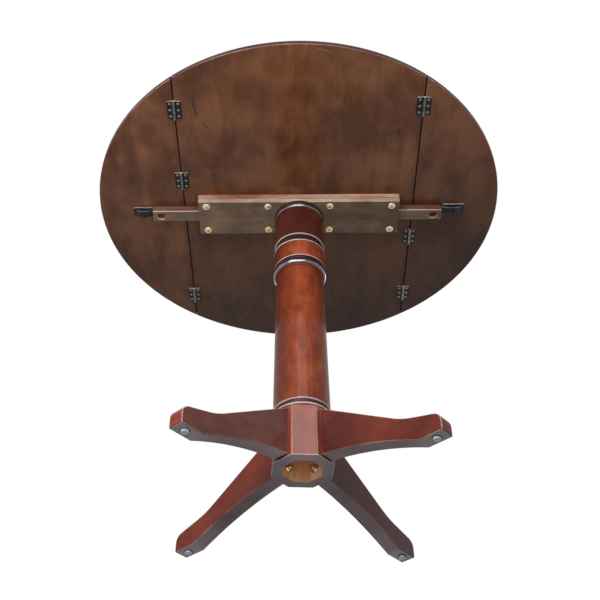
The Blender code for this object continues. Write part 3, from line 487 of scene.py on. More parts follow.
# Blotchy turned wood, with painted shade on the column's left side
MOTTLED_AND_LEFT_SHADED = {"blotch": 1.25, "pores": 0.12, "painted_shade": LEFT_SIDE_PAINTED_SHADE, "patches": 20.0}
SOLE_SHEEN_SETTINGS = {"contrast": 0.5, "bump": 0.04, "roughness": (0.34, 0.48), "specular": 0.6}
BOARD_STAIN = {"pores": 0.2, "bump": 0.08, "specular": 0.15}

# The underside darkens towards its far right: painted shade
UNDER_WOOD = wood(
    "underside_stain", BROWN, **BOARDED, blotch=1.8, pores=0.06, contrast=0.3, bump=0.01, patches=6.0,
    roughness=(0.45, 0.6), coat=UNDER_GLOSS, marks=UNDER_MARKS, painted_shade=FAR_SIDE_PAINTED_SHADE,
)
TOP_WOOD = wood(
    "top_lacquer", MAHOGANY, **BOARDED, spread=0.16, blotch=0.5, pores=0.35, contrast=0.8, bump=0.05,
    coat=TOP_COAT,
)
SEAM_SHADE_WOOD = wood(
    "seam_painted_shade", SEAM_PAINTED_SHADE, "Y", blotch=0.5, pores=0.35, contrast=1.0, bump=0.12, roughness=(0.7, 0.9),
    specular=0.1,
)
RIM_SIDE_SHADE_WOOD = wood("rim_side_painted_shade", EDGE, "Y", blotch=0.8, contrast=0.5, coat=DULL)
# The column and band darken on their left side: painted shade
COLUMN_WOOD = wood("column_lacquer", MAHOGANY, **TURNED, **MOTTLED_AND_LEFT_SHADED, coat=LACQUER)
NECK_SHADE_WOOD = wood("neck_lacquer_painted_shade", NECK_PAINTED_SHADE, **TURNED, pores=0.12, coat=LACQUER)
BAND_LIGHT_WOOD = wood("band_lacquer_painted_light", BAND_PAINTED_LIGHT, **TURNED, **MOTTLED_AND_LEFT_SHADED, coat=LACQUER)
HUB_WOOD = wood("hub_lacquer", MAHOGANY, **TURNED, spread=0.08, blotch=0.9, contrast=0.4, coat=GLOSS)
RING_SHADE_WOOD = wood("ring_polish_painted_shade", RING_PAINTED_SHADE, **TURNED, bump=0.02, coat=POLISH)
GROOVE_SHADE_WOOD = wood("groove_painted_shade", GROOVE_PAINTED_SHADE, **TURNED, bump=0.02, coat=SATIN)
HIGHLIGHT_LINE_WOOD = wood(
    "painted_highlight_line", PAINTED_HIGHLIGHT_LINE, **TURNED, spread=0.06, pores=0.05, contrast=0.6, bump=0.02,
    roughness=(0.35, 0.5), specular=0.1, coat=LACQUER,
)
LEG_WOODS = {
    name: wood(
        f"{name}_leg_lacquer_light_and_shade", tinted(DARK_MAHOGANY, LEG_END_LIGHT_AND_SHADE[name]), blotch=1.2, pores=0.12,
        coat=SATIN, side_tone_and_light=tinted(DARK_MAHOGANY, tone),
    )
    for name, tone in LEG_SIDE_LIGHT_AND_SHADE.items()
}
HUB_SOLE_SHEEN = wood("hub_sole_painted_sheen", tinted(SOLE_PAINTED_SHEEN, HUB_SOLE_SHEEN_TONE), **SOLE_SHEEN_SETTINGS)
SOLE_SHEEN_WOOD = wood("sole_painted_sheen", SOLE_PAINTED_SHEEN, **SOLE_SHEEN_SETTINGS)
WORN_AND_HIGHLIGHT_EDGE = wood("worn_and_highlight_lacquer", WORN_AND_HIGHLIGHT_MAHOGANY, blotch=1.2, contrast=1.0, specular=0.1, coat=LACQUER)
# The board darkens towards its right end: painted shade
BOARD_WOOD = wood(
    "board_stain", BOARD, **BOARD_STAIN, blotch=1.4, contrast=0.35, roughness=(0.42, 0.6),
    side_tone_and_light=BOARD_SIDE_TONE, painted_shade=RIGHT_END_PAINTED_SHADE,
)
RAIL_WOOD = wood(
    "rail_stain", BOARD, **BOARD_STAIN, blotch=1.4, contrast=1.0, roughness=(0.42, 0.6),
    side_tone_and_light=RAIL_SIDE_TONE,
)
SLIDE_WOOD = wood(
    "slide_stain", BOARD, **BOARD_STAIN, contrast=0.6, roughness=(0.38, 0.55), side_tone_and_light=SLIDE_SIDE
)
SLIDE_ARRIS_HIGHLIGHT_WOOD = wood(
    "slide_arris_painted_highlight", SLIDE_ARRIS_HIGHLIGHT, blotch=1.4, contrast=1.0, bump=0.05, roughness=(0.3, 0.45), specular=0.6
)
RAW_WOOD = wood(
    "raw_wood", RAW, **TURNED, spread=0.14, blotch=0.9, pores=0.15, contrast=1.0, bump=0.1,
    roughness=(0.6, 0.8), specular=0.2,
)
RAW_HOLE = wood(
    "raw_hole_wood", RAW_HOLE_PAINTED_SHADE, blotch=0.9, pores=0.3, contrast=1.0, bump=0.12, roughness=(0.5, 0.7),
    specular=0.3,
)
RIM_HIGHLIGHT_WOOD = wood(
    "raw_rim_painted_highlight", RAW_RIM_PAINTED_HIGHLIGHT, blotch=0.9, pores=0.2, contrast=1.0, bump=0.1, roughness=(0.4, 0.6),
    specular=0.4,
)
ZINC = {"roughness": (0.2, 0.34), "metallic": 0.45}
BRONZE = metal(
    "bronzed_hinge", (0.024, 0.022, 0.019), (0.085, 0.074, 0.058), (0.28, 0.45), scale=220.0, amount=0.5,
    metallic=0.8,
)
# Pale plate ends on the hinges: painted highlight
HINGE_END_HIGHLIGHT = metal("hinge_end_painted_highlight", (0.7, 0.6, 0.46), (0.86, 0.78, 0.64), (0.3, 0.45), metallic=0.3)
# The pins' own metal, also painted as a highlight line along the barrels
PIN_METAL_AND_HIGHLIGHT = metal(
    "pin_wear_and_highlight", (0.13, 0.125, 0.118), (0.52, 0.5, 0.47), (0.22, 0.38), scale=260.0, amount=0.7,
    metallic=0.7,
)
SCREW_METAL = metal(
    "hinge_screw", (0.36, 0.34, 0.29), (0.7, 0.66, 0.58), (0.22, 0.4), scale=500.0, metallic=0.6
)
# Near black painted shade in the screws' cross recesses and the stops' screw holes
RECESS_PAINTED_SHADE = metal(
    "screw_recess_painted_shade", (0.018, 0.016, 0.012), (0.06, 0.05, 0.04), (0.45, 0.65), scale=500.0, amount=0.5,
    metallic=0.6,
)
YELLOW_ZINC = metal("yellow_zinc", (0.88, 0.74, 0.33), (0.96, 0.88, 0.6), **ZINC)
GOLD_ZINC = metal("gold_zinc", (0.93, 0.66, 0.33), (0.97, 0.84, 0.6), **ZINC)
PALE_ZINC = metal("pale_zinc", (0.9, 0.735, 0.58), (0.96, 0.87, 0.75), **ZINC)
BRIGHT_STEEL = metal("bright_steel", (0.7, 0.64, 0.53), (0.9, 0.85, 0.74), (0.2, 0.38))
# Pale plastic on the stops' lower crown edges and flange sides: painted highlight
CROWN_EDGE_HIGHLIGHT = plastic("crown_edge_painted_highlight", (0.42, 0.45, 0.52), (0.6, 0.63, 0.7), (0.25, 0.4))
FLANGE_EDGE_HIGHLIGHT = plastic("flange_edge_painted_highlight", (0.4, 0.365, 0.31), (0.56, 0.52, 0.45), (0.5, 0.7))
BLACK_PLASTIC = plastic(
    "black_plastic", (0.016, 0.017, 0.018), (0.07, 0.07, 0.07), (0.34, 0.55), specular=0.2
)
GLIDE = plastic("grey_glide", (0.56, 0.62, 0.72), (0.68, 0.73, 0.8), (0.25, 0.4), scale=600.0)


# Mesh helpers

def box_middle(node):
    low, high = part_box(node)
    return (low + high) / 2


def link(thing):
    bpy.context.scene.collection.objects.link(thing)


def mesh_from(bm, name="maker"):
    mesh = bpy.data.meshes.new(name)
    bm.to_mesh(mesh)
    bm.free()
    return mesh


def place_piece(name, bm, materials, body, stands_for=(), matrix=Matrix(), angle=32.0):
    """A piece from a bmesh, shaded round except at edges sharper than an angle."""
    bmesh.ops.recalc_face_normals(bm, faces=bm.faces)
    mesh = mesh_from(bm, name)
    for material in materials:
        mesh.materials.append(material)
    mesh.shade_smooth()
    mesh.set_sharp_from_angle(angle=radians(angle))
    piece = bpy.data.objects.new(name, mesh)
    link(piece)
    piece.matrix_world = matrix
    flat = piece.modifiers.new("flat_faces", "WEIGHTED_NORMAL")
    flat.keep_sharp = True
    flat.weight = 100
    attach(piece, body)
    if stands_for:
        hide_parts(*stands_for)


def slot_numbers(finishes):
    return {name: number for number, name in enumerate(finishes)}


def facing_out(bm, material):
    """A closed bmesh with its faces turned outwards and in one material slot."""
    bmesh.ops.recalc_face_normals(bm, faces=bm.faces)
    for face in bm.faces:
        face.material_index = material
    return bm


def turned(profile, steps, material=0):
    """A profile of (radius, height) points turned round the Z axis."""
    bm = bmesh.new()
    verts = [bm.verts.new((radius, 0.0, height)) for radius, height in profile]
    edges = [bm.edges.new(pair) for pair in zip(verts, verts[1:])]
    bmesh.ops.spin(bm, geom=verts + edges, axis=(0, 0, 1), cent=(0, 0, 0), angle=tau, steps=steps)
    bmesh.ops.remove_doubles(bm, verts=bm.verts, dist=WELD)
    return facing_out(bm, material)


def prism(outline, low, high, material=0, taper=1.0):
    """A prism on an outline in X and Y, from one height to another."""
    bm = bmesh.new()
    base = [bm.verts.new((x, y, low)) for x, y in outline]
    crown = [bm.verts.new((x * taper, y * taper, high)) for x, y in outline]
    bm.faces.new(base)
    bm.faces.new(crown)
    for i in range(len(base)):
        j = (i + 1) % len(base)
        bm.faces.new((base[i], base[j], crown[j], crown[i]))
    return facing_out(bm, material)


def add_drill(bm, radius, length, segments, matrix, material):
    """A round cutter along the Z axis of a matrix."""
    made = bmesh.ops.create_cone(
        bm, cap_ends=True, segments=segments, radius1=radius, radius2=radius, depth=length, matrix=matrix
    )
    for vert in made["verts"]:
        for face in vert.link_faces:
            face.material_index = material


def rotate(bm, angle, axis):
    bmesh.ops.rotate(bm, verts=bm.verts, cent=(0, 0, 0), matrix=Matrix.Rotation(angle, 3, axis))


def ease(bm, width, segments=3, material=-1):
    """Rounds the sharp edges over."""
    limit = radians(30.0)
    edges = [e for e in bm.edges if len(e.link_faces) == 2 and e.calc_face_angle(0.0) > limit]
    bmesh.ops.bevel(
        bm, geom=edges, offset=width, segments=segments, profile=0.5, affect="EDGES", clamp_overlap=True,
        material=material,
    )


def split(bm, through, normal, clear=False):
    geom = [*bm.verts, *bm.edges, *bm.faces]
    bmesh.ops.bisect_plane(bm, geom=geom, dist=WELD, plane_co=through, plane_no=normal, clear_outer=clear)


def repaint(bm, material, chosen):
    """Gives a material slot to the faces that a test chooses."""
    bm.normal_update()
    for face in bm.faces:
        if chosen(face):
            face.material_index = material


def scratch_object(bm, slots):
    """A passing object with as many empty material slots as the piece has."""
    mesh = mesh_from(bm)
    for _ in range(slots):
        mesh.materials.append(None)
    thing = bpy.data.objects.new("maker", mesh)
    link(thing)
    return thing


def carved(bm, steps, slots):
    """A bmesh after boolean steps of (operation, cutter)."""
    maker = scratch_object(bm, slots)
    tools = []
    for operation, cutter in steps:
        tools.append(scratch_object(cutter, slots))
        modifier = maker.modifiers.new("carve", "BOOLEAN")
        modifier.operation = operation
        modifier.solver = "EXACT"
        modifier.object = tools[-1]
    depsgraph = bpy.context.evaluated_depsgraph_get()
    result = bmesh.new()
    result.from_mesh(maker.evaluated_get(depsgraph).to_mesh())
    for thing in (maker, *tools):
        bpy.data.objects.remove(thing, do_unlink=True)
    bmesh.ops.remove_doubles(result, verts=result.verts, dist=WELD)
    return result


def octagon(flat):
    radius = flat / cos(pi / 8)
    angles = [tau * (i + 0.5) / 8 for i in range(8)]
    return [(radius * cos(a), radius * sin(a)) for a in angles]


def arc(centre, radius, start, end, count):
    angles = [radians(start + (end - start) * i / count) for i in range(count + 1)]
    return [(centre[0] + radius * cos(a), centre[1] + radius * sin(a)) for a in angles]


def rounded_corner(before, corner, after, radius, count):
    before, corner, after = Vector(before), Vector(corner), Vector(after)
    inward = (before - corner).normalized()
    onward = (after - corner).normalized()
    half = inward.angle(onward) / 2
    centre = corner + (inward + onward).normalized() * (radius / sin(half))
    first = corner + inward * (radius / tan(half)) - centre
    last = corner + onward * (radius / tan(half)) - centre
    sweep = atan2(first.x * last.y - first.y * last.x, first.dot(last))
    turns = [Matrix.Rotation(sweep * i / count, 2) for i in range(count + 1)]
    return [tuple(centre + turn @ first) for turn in turns]


# Table top

TOP_FINISHES = {
    "under": UNDER_WOOD, "top": TOP_WOOD, "seam": SEAM_SHADE_WOOD, "edge": RIM_SIDE_SHADE_WOOD, "worn": WORN_AND_HIGHLIGHT_EDGE,
}
TOP_SLOTS = slot_numbers(TOP_FINISHES)


def top_profile():
    over = arc((TOP_RADIUS - TOP_EDGE_RADIUS, TABLE_TOP - TOP_EDGE_RADIUS), TOP_EDGE_RADIUS, 90, 0, 8)
    low_centre = (TOP_RADIUS - UNDER_EDGE_RADIUS, UNDERSIDE + UNDER_EDGE_RADIUS)
    under = arc(low_centre, UNDER_EDGE_RADIUS, 0, -90, 4)
    return [(0, TABLE_TOP), *over, *under, (0, UNDERSIDE)]


def cut_away(bm, through, normal):
    split(bm, through, normal, clear=True)
    bmesh.ops.holes_fill(bm, edges=[e for e in bm.edges if e.is_boundary], sides=0)


def rebate(x, outward):
    """What is cut from a seam edge above its lip."""
    near, far = sorted((x, x + outward * CUT_ROOM))
    half = TOP_RADIUS + CUT_ROOM
    outline = [(near, -half), (far, -half), (far, half), (near, half)]
    return prism(outline, UNDERSIDE + SEAM_LIP_HEIGHT, TABLE_TOP + CUT_ROOM)


def top_finish(face, seams):
    """Which finish a face of the top has, by its place and the way it faces."""
    centre = face.calc_center_median()
    at_seam = any((centre.x - x) * outward > -SEAM_SHADE_WIDTH for x, outward in seams)
    # The seam walls take painted shade
    if at_seam and centre.z < TABLE_TOP - 2 * SEAM_CHAMFER:
        return "seam"
    if face.normal.z < -0.95:
        return "under"
    # The rounded lower edge takes wear and painted highlight
    if face.normal.z < -0.2:
        return "worn"
    # The rim's side takes painted shade
    return "top" if face.normal.z > 0.4 else "edge"


def build_top_piece(name, low, high, body):
    seams = [(x, outward) for x, outward in ((low, -1), (high, 1)) if abs(x) < TOP_RADIUS]
    bm = turned(top_profile(), RIM_STEPS)
    for x, outward in seams:
        cut_away(bm, (x + outward * SEAM_LIP, 0, 0), (outward, 0, 0))
    bm = carved(bm, [("DIFFERENCE", rebate(x, outward)) for x, outward in seams], len(TOP_SLOTS))
    for x, outward in seams:
        cut_away(bm, (x - outward * SEAM_CHAMFER, 0, TABLE_TOP), (outward, 0, 1))
        split(bm, (x - outward * SEAM_SHADE_WIDTH, 0, 0), (outward, 0, 0))
    bmesh.ops.recalc_face_normals(bm, faces=bm.faces)
    bm.normal_update()
    for face in bm.faces:
        face.material_index = TOP_SLOTS[top_finish(face, seams)]
    place_piece(f"{name}_dressed", bm, TOP_FINISHES.values(), body, (name,), angle=35.0)


build_top_piece("centre_panel", PANEL_LOW.x, PANEL_HIGH.x, "table")
build_top_piece("left_leaf", -1.0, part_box("left_leaf")[1].x, "left_leaf_body")
build_top_piece("right_leaf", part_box("right_leaf")[0].x, 1.0, "right_leaf_body")


# Column

COLUMN_FINISHES = {
    "shaft": COLUMN_WOOD, "bore": RAW_WOOD, "worn": WORN_AND_HIGHLIGHT_EDGE, "sole": HUB_SOLE_SHEEN, "ring": RING_SHADE_WOOD,
    "hub": HUB_WOOD, "neck": NECK_SHADE_WOOD, "band": BAND_LIGHT_WOOD, "rubbed": HIGHLIGHT_LINE_WOOD, "groove": GROOVE_SHADE_WOOD,
}
COLUMN_SLOTS = slot_numbers(COLUMN_FINISHES)


def swell(top, bottom, above, middle, below, count):
    """A rounded ring or hollow, from one radius through another to a third."""
    points = []
    for i in range(count + 1):
        share = (1 - cos(pi * i / count)) / 2
        bulge = sqrt(max(sin(pi * share), 0.0))
        base = above + (below - above) * share
        points.append((base + (middle - base) * bulge, top + (bottom - top) * share))
    return points


def column_levels():
    """The top and bottom of each turned form."""
    levels, height = {}, COLUMN_TOP
    for name, drop in TURNING_HEIGHTS.items():
        levels[name] = (height, height - drop)
        height -= drop
    ring_top = HUB_TOP + RING_HEIGHT
    levels["foot_ring"] = (ring_top, HUB_TOP)
    levels["foot_cove"] = (ring_top + RING_COVE_HEIGHT, ring_top)
    return levels


LEVELS = column_levels()
CAP_EQUATOR = COLUMN_TOP - CAP_SHOULDER
BEAD_EQUATOR = sum(LEVELS["bead"]) / 2


def turned_zones():
    """Bands of the turning, as (top, bottom, finish), with the painted highlight lines first."""
    rubbed = [
        LEVELS["neck"][1],
        LEVELS["lip"][1] + RUBBED_WIDTH,
        LEVELS["band"][1] + RUBBED_WIDTH,
        LEVELS["foot_cove"][0],
    ]
    half = RUBBED_WIDTH / 2
    return [
        *[(height + half, height - half, "rubbed") for height in rubbed],
        (LEVELS["foot_ring"][0], sum(LEVELS["foot_ring"]) / 2, "rubbed"),
        (CAP_EQUATOR, LEVELS["cap"][1], "ring"),
        (BEAD_EQUATOR, LEVELS["bead"][1], "ring"),
        (LEVELS["groove"][0], LEVELS["lip"][1], "groove"),
        (LEVELS["cove"][0], BEAD_EQUATOR, "groove"),
        (*LEVELS["foot_cove"], "groove"),
        # The neck takes painted shade and the band painted light
        (COLUMN_TOP, LEVELS["neck"][1], "neck"),
        (*LEVELS["band"], "band"),
        (HUB_TOP, 0.0, "hub"),
    ]


def column_profile():
    under_ring = HUB_TOP - 2 * HUB_EDGE
    shoulder = arc((0, 0), 1.0, 90, 0, 6)
    shoulder_width = CAP_RADIUS - NECK_RADIUS
    belly = arc((0, 0), 1.0, 0, 90, 12)
    belly_width = CAP_RADIUS - CAP_GROOVE_RADIUS
    belly_depth = CAP_EQUATOR - LEVELS["cap"][1]
    return [
        (0, COLUMN_TOP),
        *[(NECK_RADIUS + shoulder_width * x, COLUMN_TOP - CAP_SHOULDER * (1 - y)) for x, y in shoulder],
        *[(CAP_GROOVE_RADIUS + belly_width * x, CAP_EQUATOR - belly_depth * y) for x, y in belly[1:]],
        (NECK_RADIUS, LEVELS["cap_groove"][1]),
        *swell(*LEVELS["groove"], NECK_RADIUS, GROOVE_RADIUS, GROOVE_RADIUS, 10),
        *swell(*LEVELS["lip"], GROOVE_RADIUS, LIP_RADIUS, BAND_RADIUS, 12)[1:],
        *swell(*LEVELS["cove"], BAND_RADIUS, COVE_RADIUS, COVE_RADIUS, 8),
        *swell(*LEVELS["bead"], COVE_RADIUS, BEAD_RADIUS, FILLET_RADIUS, 18)[1:],
        (FILLET_RADIUS, LEVELS["fillet"][1]),
        (SHAFT_TOP_RADIUS, LEVELS["fillet"][1]),
        *swell(*LEVELS["foot_cove"], SHAFT_BOTTOM_RADIUS, RING_COVE_RADIUS, RING_COVE_RADIUS, 8),
        *swell(*LEVELS["foot_ring"], RING_COVE_RADIUS, RING_RADIUS, RING_FOOT_RADIUS, 12)[1:],
        (RING_FOOT_RADIUS, under_ring),
        (0, under_ring),
    ]


def build_column():
    slots = COLUMN_SLOTS
    hub = prism(octagon(HUB_FLAT), HUB_BOTTOM, HUB_TOP)
    ease(hub, HUB_EDGE, material=slots["worn"])
    turning = turned(column_profile(), COLUMN_STEPS)
    bore = prism(octagon(BORE_FLAT), HUB_BOTTOM - CUT_ROOM, COLUMN_TOP + CUT_ROOM, slots["bore"])
    holes = bmesh.new()
    middle = Matrix.Translation(((BORE_FLAT + HUB_FLAT) / 2, 0, LEG_BOLT_HEIGHT))
    length = HUB_FLAT - BORE_FLAT + 2 * CUT_ROOM
    for angle in LEG_ANGLES.values():
        turn = Matrix.Rotation(radians(angle), 4, "Z")
        matrix = turn @ middle @ Matrix.Rotation(pi / 2, 4, "Y")
        add_drill(holes, LEG_BOLT_HOLE_RADIUS, length, 24, matrix, slots["bore"])
    bm = carved(hub, [("UNION", turning), ("DIFFERENCE", bore), ("DIFFERENCE", holes)], len(slots))
    zones = turned_zones()
    for cut in sorted({height for zone in zones for height in zone[:2] if height > HUB_TOP}):
        split(bm, (0, 0, cut), (0, 0, 1))
    bm.normal_update()
    for face in bm.faces:
        height = face.calc_center_median().z
        # The hub's underside takes painted sheen
        if face.normal.z < -0.98 and height < HUB_TOP / 2:
            face.material_index = slots["sole"]
        # The lowest bevels of the hub take a painted highlight line
        elif face.material_index == slots["worn"] and height < HUB_BOTTOM + HUB_EDGE:
            face.material_index = slots["rubbed"]
        elif face.material_index == slots["shaft"]:
            finish = next((name for top, bottom, name in zones if top > height > bottom), "shaft")
            face.material_index = slots[finish]
    turn = Matrix.Rotation(PEDESTAL_TURN, 4, "Z")
    finishes = COLUMN_FINISHES.values()
    place_piece("column_dressed", bm, finishes, "table", ("column",), turn)


build_column()


# Legs

LEG_SLOTS = slot_numbers(("lacquer", "worn", "sole", "groove"))


def leg_outline():
    root_top, root_bottom = (LEG_ROOT, LEG_ROOT_TOP), (LEG_ROOT, LEG_ROOT_BOTTOM)
    ankle, toe = (LEG_REACH - ANKLE_SETBACK, ANKLE_HEIGHT), (LEG_REACH, TOE_HEIGHT)
    heel, sole = (LEG_REACH, SOLE_HEIGHT), (LEG_REACH - FOOT_LENGTH, SOLE_HEIGHT)
    start, end = Vector(sole), Vector(root_bottom)
    side = Vector((-(end - start).y, (end - start).x)).normalized()
    steps = [i / ARCH_STEPS for i in range(ARCH_STEPS + 1)]
    arch = [tuple(start.lerp(end, s) - side * ARCH_RISE * 4 * s * (1 - s)) for s in steps]
    return [
        root_top,
        *rounded_corner(root_top, ankle, toe, ANKLE_RADIUS, 14),
        *rounded_corner(ankle, toe, heel, TOE_RADIUS, 12),
        *rounded_corner(toe, heel, sole, HEEL_RADIUS, 4),
        *arch,
    ]


def glide_ring():
    """The groove pressed into the sole round a glide, as a cutter. Its dark finish is the glide's painted
    shadow.
    """
    reach = box_middle("near_left_glide").xy.length
    inner, outer = GLIDE_RADIUS - GLIDE_RING, GLIDE_RADIUS + GLIDE_RING
    top = SOLE_HEIGHT + GLIDE_RING
    profile = [(inner, top), (outer, top), (outer, 0), (inner, 0), (inner, top)]
    ring = turned(profile, 40, LEG_SLOTS["groove"])
    bmesh.ops.translate(ring, verts=ring.verts, vec=(reach, 0, 0))
    return ring


def build_legs():
    slots = LEG_SLOTS
    bm = prism(leg_outline(), -LEG_THICKNESS / 2, LEG_THICKNESS / 2)
    rotate(bm, pi / 2, "X")
    ease(bm, LEG_EDGE, material=slots["worn"])
    # The leg soles take painted sheen
    repaint(bm, slots["sole"], lambda face: face.material_index == slots["lacquer"] and face.normal.z < -0.6)
    bm = carved(bm, [("DIFFERENCE", glide_ring())], len(slots))
    for name, angle in LEG_ANGLES.items():
        turn = Matrix.Rotation(PEDESTAL_TURN + radians(angle), 4, "Z")
        finishes = (LEG_WOODS[name], WORN_AND_HIGHLIGHT_EDGE, SOLE_SHEEN_WOOD, GROOVE_SHADE_WOOD)
        leg = f"{name}_leg"
        place_piece(f"{leg}_dressed", bm.copy(), finishes, "table", (leg,), turn)
    bm.free()


build_legs()


# Pull-out supports

SLIDE_FINISHES = {"stain": SLIDE_WOOD, "hole": RAW_HOLE, "rim": RIM_HIGHLIGHT_WOOD, "arris": SLIDE_ARRIS_HIGHLIGHT_WOOD}
SLIDE_SLOTS = slot_numbers(SLIDE_FINISHES)


def finger_hole(underside):
    """The finger hole with its chamfered rim, as a cutter."""
    rim_radius = FINGER_HOLE_RADIUS + FINGER_HOLE_RIM
    profile = [
        (0, underside + FINGER_HOLE_DEPTH),
        (FINGER_HOLE_RADIUS, underside + FINGER_HOLE_DEPTH),
        (FINGER_HOLE_RADIUS, underside + FINGER_HOLE_RIM),
        (rim_radius, underside),
        (rim_radius, underside - CUT_ROOM),
        (0, underside - CUT_ROOM),
    ]
    hole = turned(profile, 48, SLIDE_SLOTS["hole"])
    repaint(hole, SLIDE_SLOTS["rim"], lambda face: 0.2 < abs(face.normal.z) < 0.9)
    bmesh.ops.translate(hole, verts=hole.verts, vec=(-FINGER_HOLE_SETBACK, 0, 0))
    return hole


def set_at(side, x, y, z):
    """A matrix for a piece that is built as on the right, at a place on its own side."""
    turn = Matrix.Rotation(0.0 if side == "right" else pi, 4, "Z")
    return Matrix.Translation((x, y, z)) @ turn


def is_low_arris(face, level):
    """Whether a face is on a rounded lower edge along X and steeper than a level."""
    return abs(face.normal.y) > 0.3 and level < face.normal.z < -0.3


def build_slide(side):
    node = f"{side}_slide"
    low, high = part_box(node)
    length = high.x - low.x
    bm = prism([(-length, low.y), (0, low.y), (0, high.y), (-length, high.y)], low.z, high.z)
    ease(bm, SLIDE_EDGE, 5)
    repaint(bm, SLIDE_SLOTS["arris"], lambda face: is_low_arris(face, -0.97))
    bm = carved(bm, [("DIFFERENCE", finger_hole(low.z))], len(SLIDE_SLOTS))
    matrix = set_at(side, high.x if side == "right" else low.x, 0, 0)
    finishes, body = SLIDE_FINISHES.values(), f"{side}_slide_body"
    place_piece(f"{node}_dressed", bm, finishes, body, (node,), matrix, 40.0)


for side in SIDES:
    build_slide(side)


# Screws

SCREW_FINISHES = {
    "near": (PALE_ZINC, PALE_ZINC, YELLOW_ZINC, PALE_ZINC),
    "far": (YELLOW_ZINC, GOLD_ZINC, YELLOW_ZINC, PALE_ZINC),
}

# Turns of the crosses, in degrees on the board and in radians on small screws
FIRST_TURN = {"near": 17, "far": 48}
SCREW_TURN = 53
SMALL_TURNS = (0.5, 1.6, 2.7)


def crossed_screw(profile, steps, arm, width, low, high):
    """A turned screw with a tapered cross recess that opens downwards."""
    w = width / 2
    outline = [
        (arm, -w), (arm, w), (w, w), (w, arm), (-w, arm), (-w, w),
        (-arm, w), (-arm, -w), (-w, -w), (-w, -arm), (w, -arm), (w, -w),
    ]
    cross = prism(outline, low, high, 1, CROSS_TAPER)
    return carved(turned(profile, steps), [("DIFFERENCE", cross)], 2)


def build_board_screw(row, number):
    node = f"{row}_board_screw_{number}"
    low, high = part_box(node)
    seat, radius = low.z + SCREW_HEAD_HEIGHT, (high.x - low.x) / 2
    dome_height = SCREW_HEAD_HEIGHT - SCREW_BRIM
    dome = arc((0, 0), 1.0, 0, 90, 10)
    profile = [
        (0, high.z),
        (SCREW_SHANK_RADIUS, high.z - SCREW_TIP),
        (SCREW_SHANK_RADIUS, seat),
        (radius, seat),
        *[(radius * x, seat - SCREW_BRIM - dome_height * y) for x, y in dome],
    ]
    bm = crossed_screw(profile, 40, CROSS_ARM, CROSS_WIDTH, low.z - CROSS_ROOM, low.z + CROSS_DEPTH)
    turn = Matrix.Rotation(radians(FIRST_TURN[row] + SCREW_TURN * number), 4, "Z")
    middle = box_middle(node)
    matrix = Matrix.Translation((middle.x, middle.y, 0)) @ turn
    finishes = (SCREW_FINISHES[row][number - 1], RECESS_PAINTED_SHADE)
    place_piece(f"{node}_dressed", bm, finishes, "table", (node,), matrix)


for row in SCREW_FINISHES:
    for number in range(1, 5):
        build_board_screw(row, number)


def small_screws(name, places, radius, low, body):
    """A row of countersunk screws, as one piece."""
    high = low + SMALL_SCREW_DEPTH
    dome = arc((0, 0), 1.0, 0, 90, 5)
    head = [(radius * x, low - SMALL_SCREW_DOME * y) for x, y in dome]
    profile = [(0, high), (radius * 0.5, high), *head]
    cross = (radius * SMALL_CROSS_ARM, radius * SMALL_CROSS_WIDTH)
    cross_top = low + SMALL_SCREW_DEPTH * SMALL_CROSS_DEPTH
    joined = bmesh.new()
    for turn, (x, y) in zip(SMALL_TURNS, places):
        bm = crossed_screw(profile, 24, *cross, low - SMALL_CROSS_ROOM, cross_top)
        rotate(bm, turn, "Z")
        bmesh.ops.translate(bm, verts=bm.verts, vec=(x, y, 0))
        joined.from_mesh(mesh_from(bm))
    place_piece(name, joined, (SCREW_METAL, RECESS_PAINTED_SHADE), body)


def build_hinge_screws(side, place, part):
    hinge = f"{side}_{place}_hinge"
    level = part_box(f"{hinge}_{part}_plate")[1].z - HINGE_PLATE_THICKNESS
    pin = box_middle(f"{hinge}_pin")
    outward = SIDES[side] if part == "leaf" else -SIDES[side]
    x = pin.x + outward * HINGE_SCREW_OFFSET
    spots = [(x, pin.y + k * HINGE_SCREW_SPACING) for k in (-1, 0, 1)]
    body = f"{side}_leaf_body" if part == "leaf" else "table"
    small_screws(f"{hinge}_{part}_screws", spots, HINGE_SCREW_RADIUS, level, body)


for side in SIDES:
    for place in ("near", "middle", "far"):
        for part in ("panel", "leaf"):
            build_hinge_screws(side, place, part)


# Stop blocks

STOP_FINISHES = {"black": BLACK_PLASTIC, "rubbed": CROWN_EDGE_HIGHLIGHT, "flange_highlight": FLANGE_EDGE_HIGHLIGHT, "hole": RECESS_PAINTED_SHADE}
STOP_SLOTS = slot_numbers(STOP_FINISHES)


def stop_body(length):
    crown_x = length - STOP_CROWN_SETBACK
    outline = [(0, 0), (length, 0)]
    for i in range(STOP_STEPS, -1, -1):
        x = length * i / STOP_STEPS
        run = STOP_CROWN_SETBACK if x > crown_x else crown_x
        fall = (STOP_CROWN_HEIGHT - STOP_END_HEIGHT) * ((x - crown_x) / run) ** 2
        outline.append((x, fall - STOP_CROWN_HEIGHT))
    bm = prism(outline, -STOP_WIDTH / 2, STOP_WIDTH / 2)
    rotate(bm, pi / 2, "X")
    ease(bm, STOP_EDGE)
    # The lower crown edges take painted highlight
    repaint(bm, STOP_SLOTS["rubbed"], lambda face: is_low_arris(face, -0.95))
    return bm


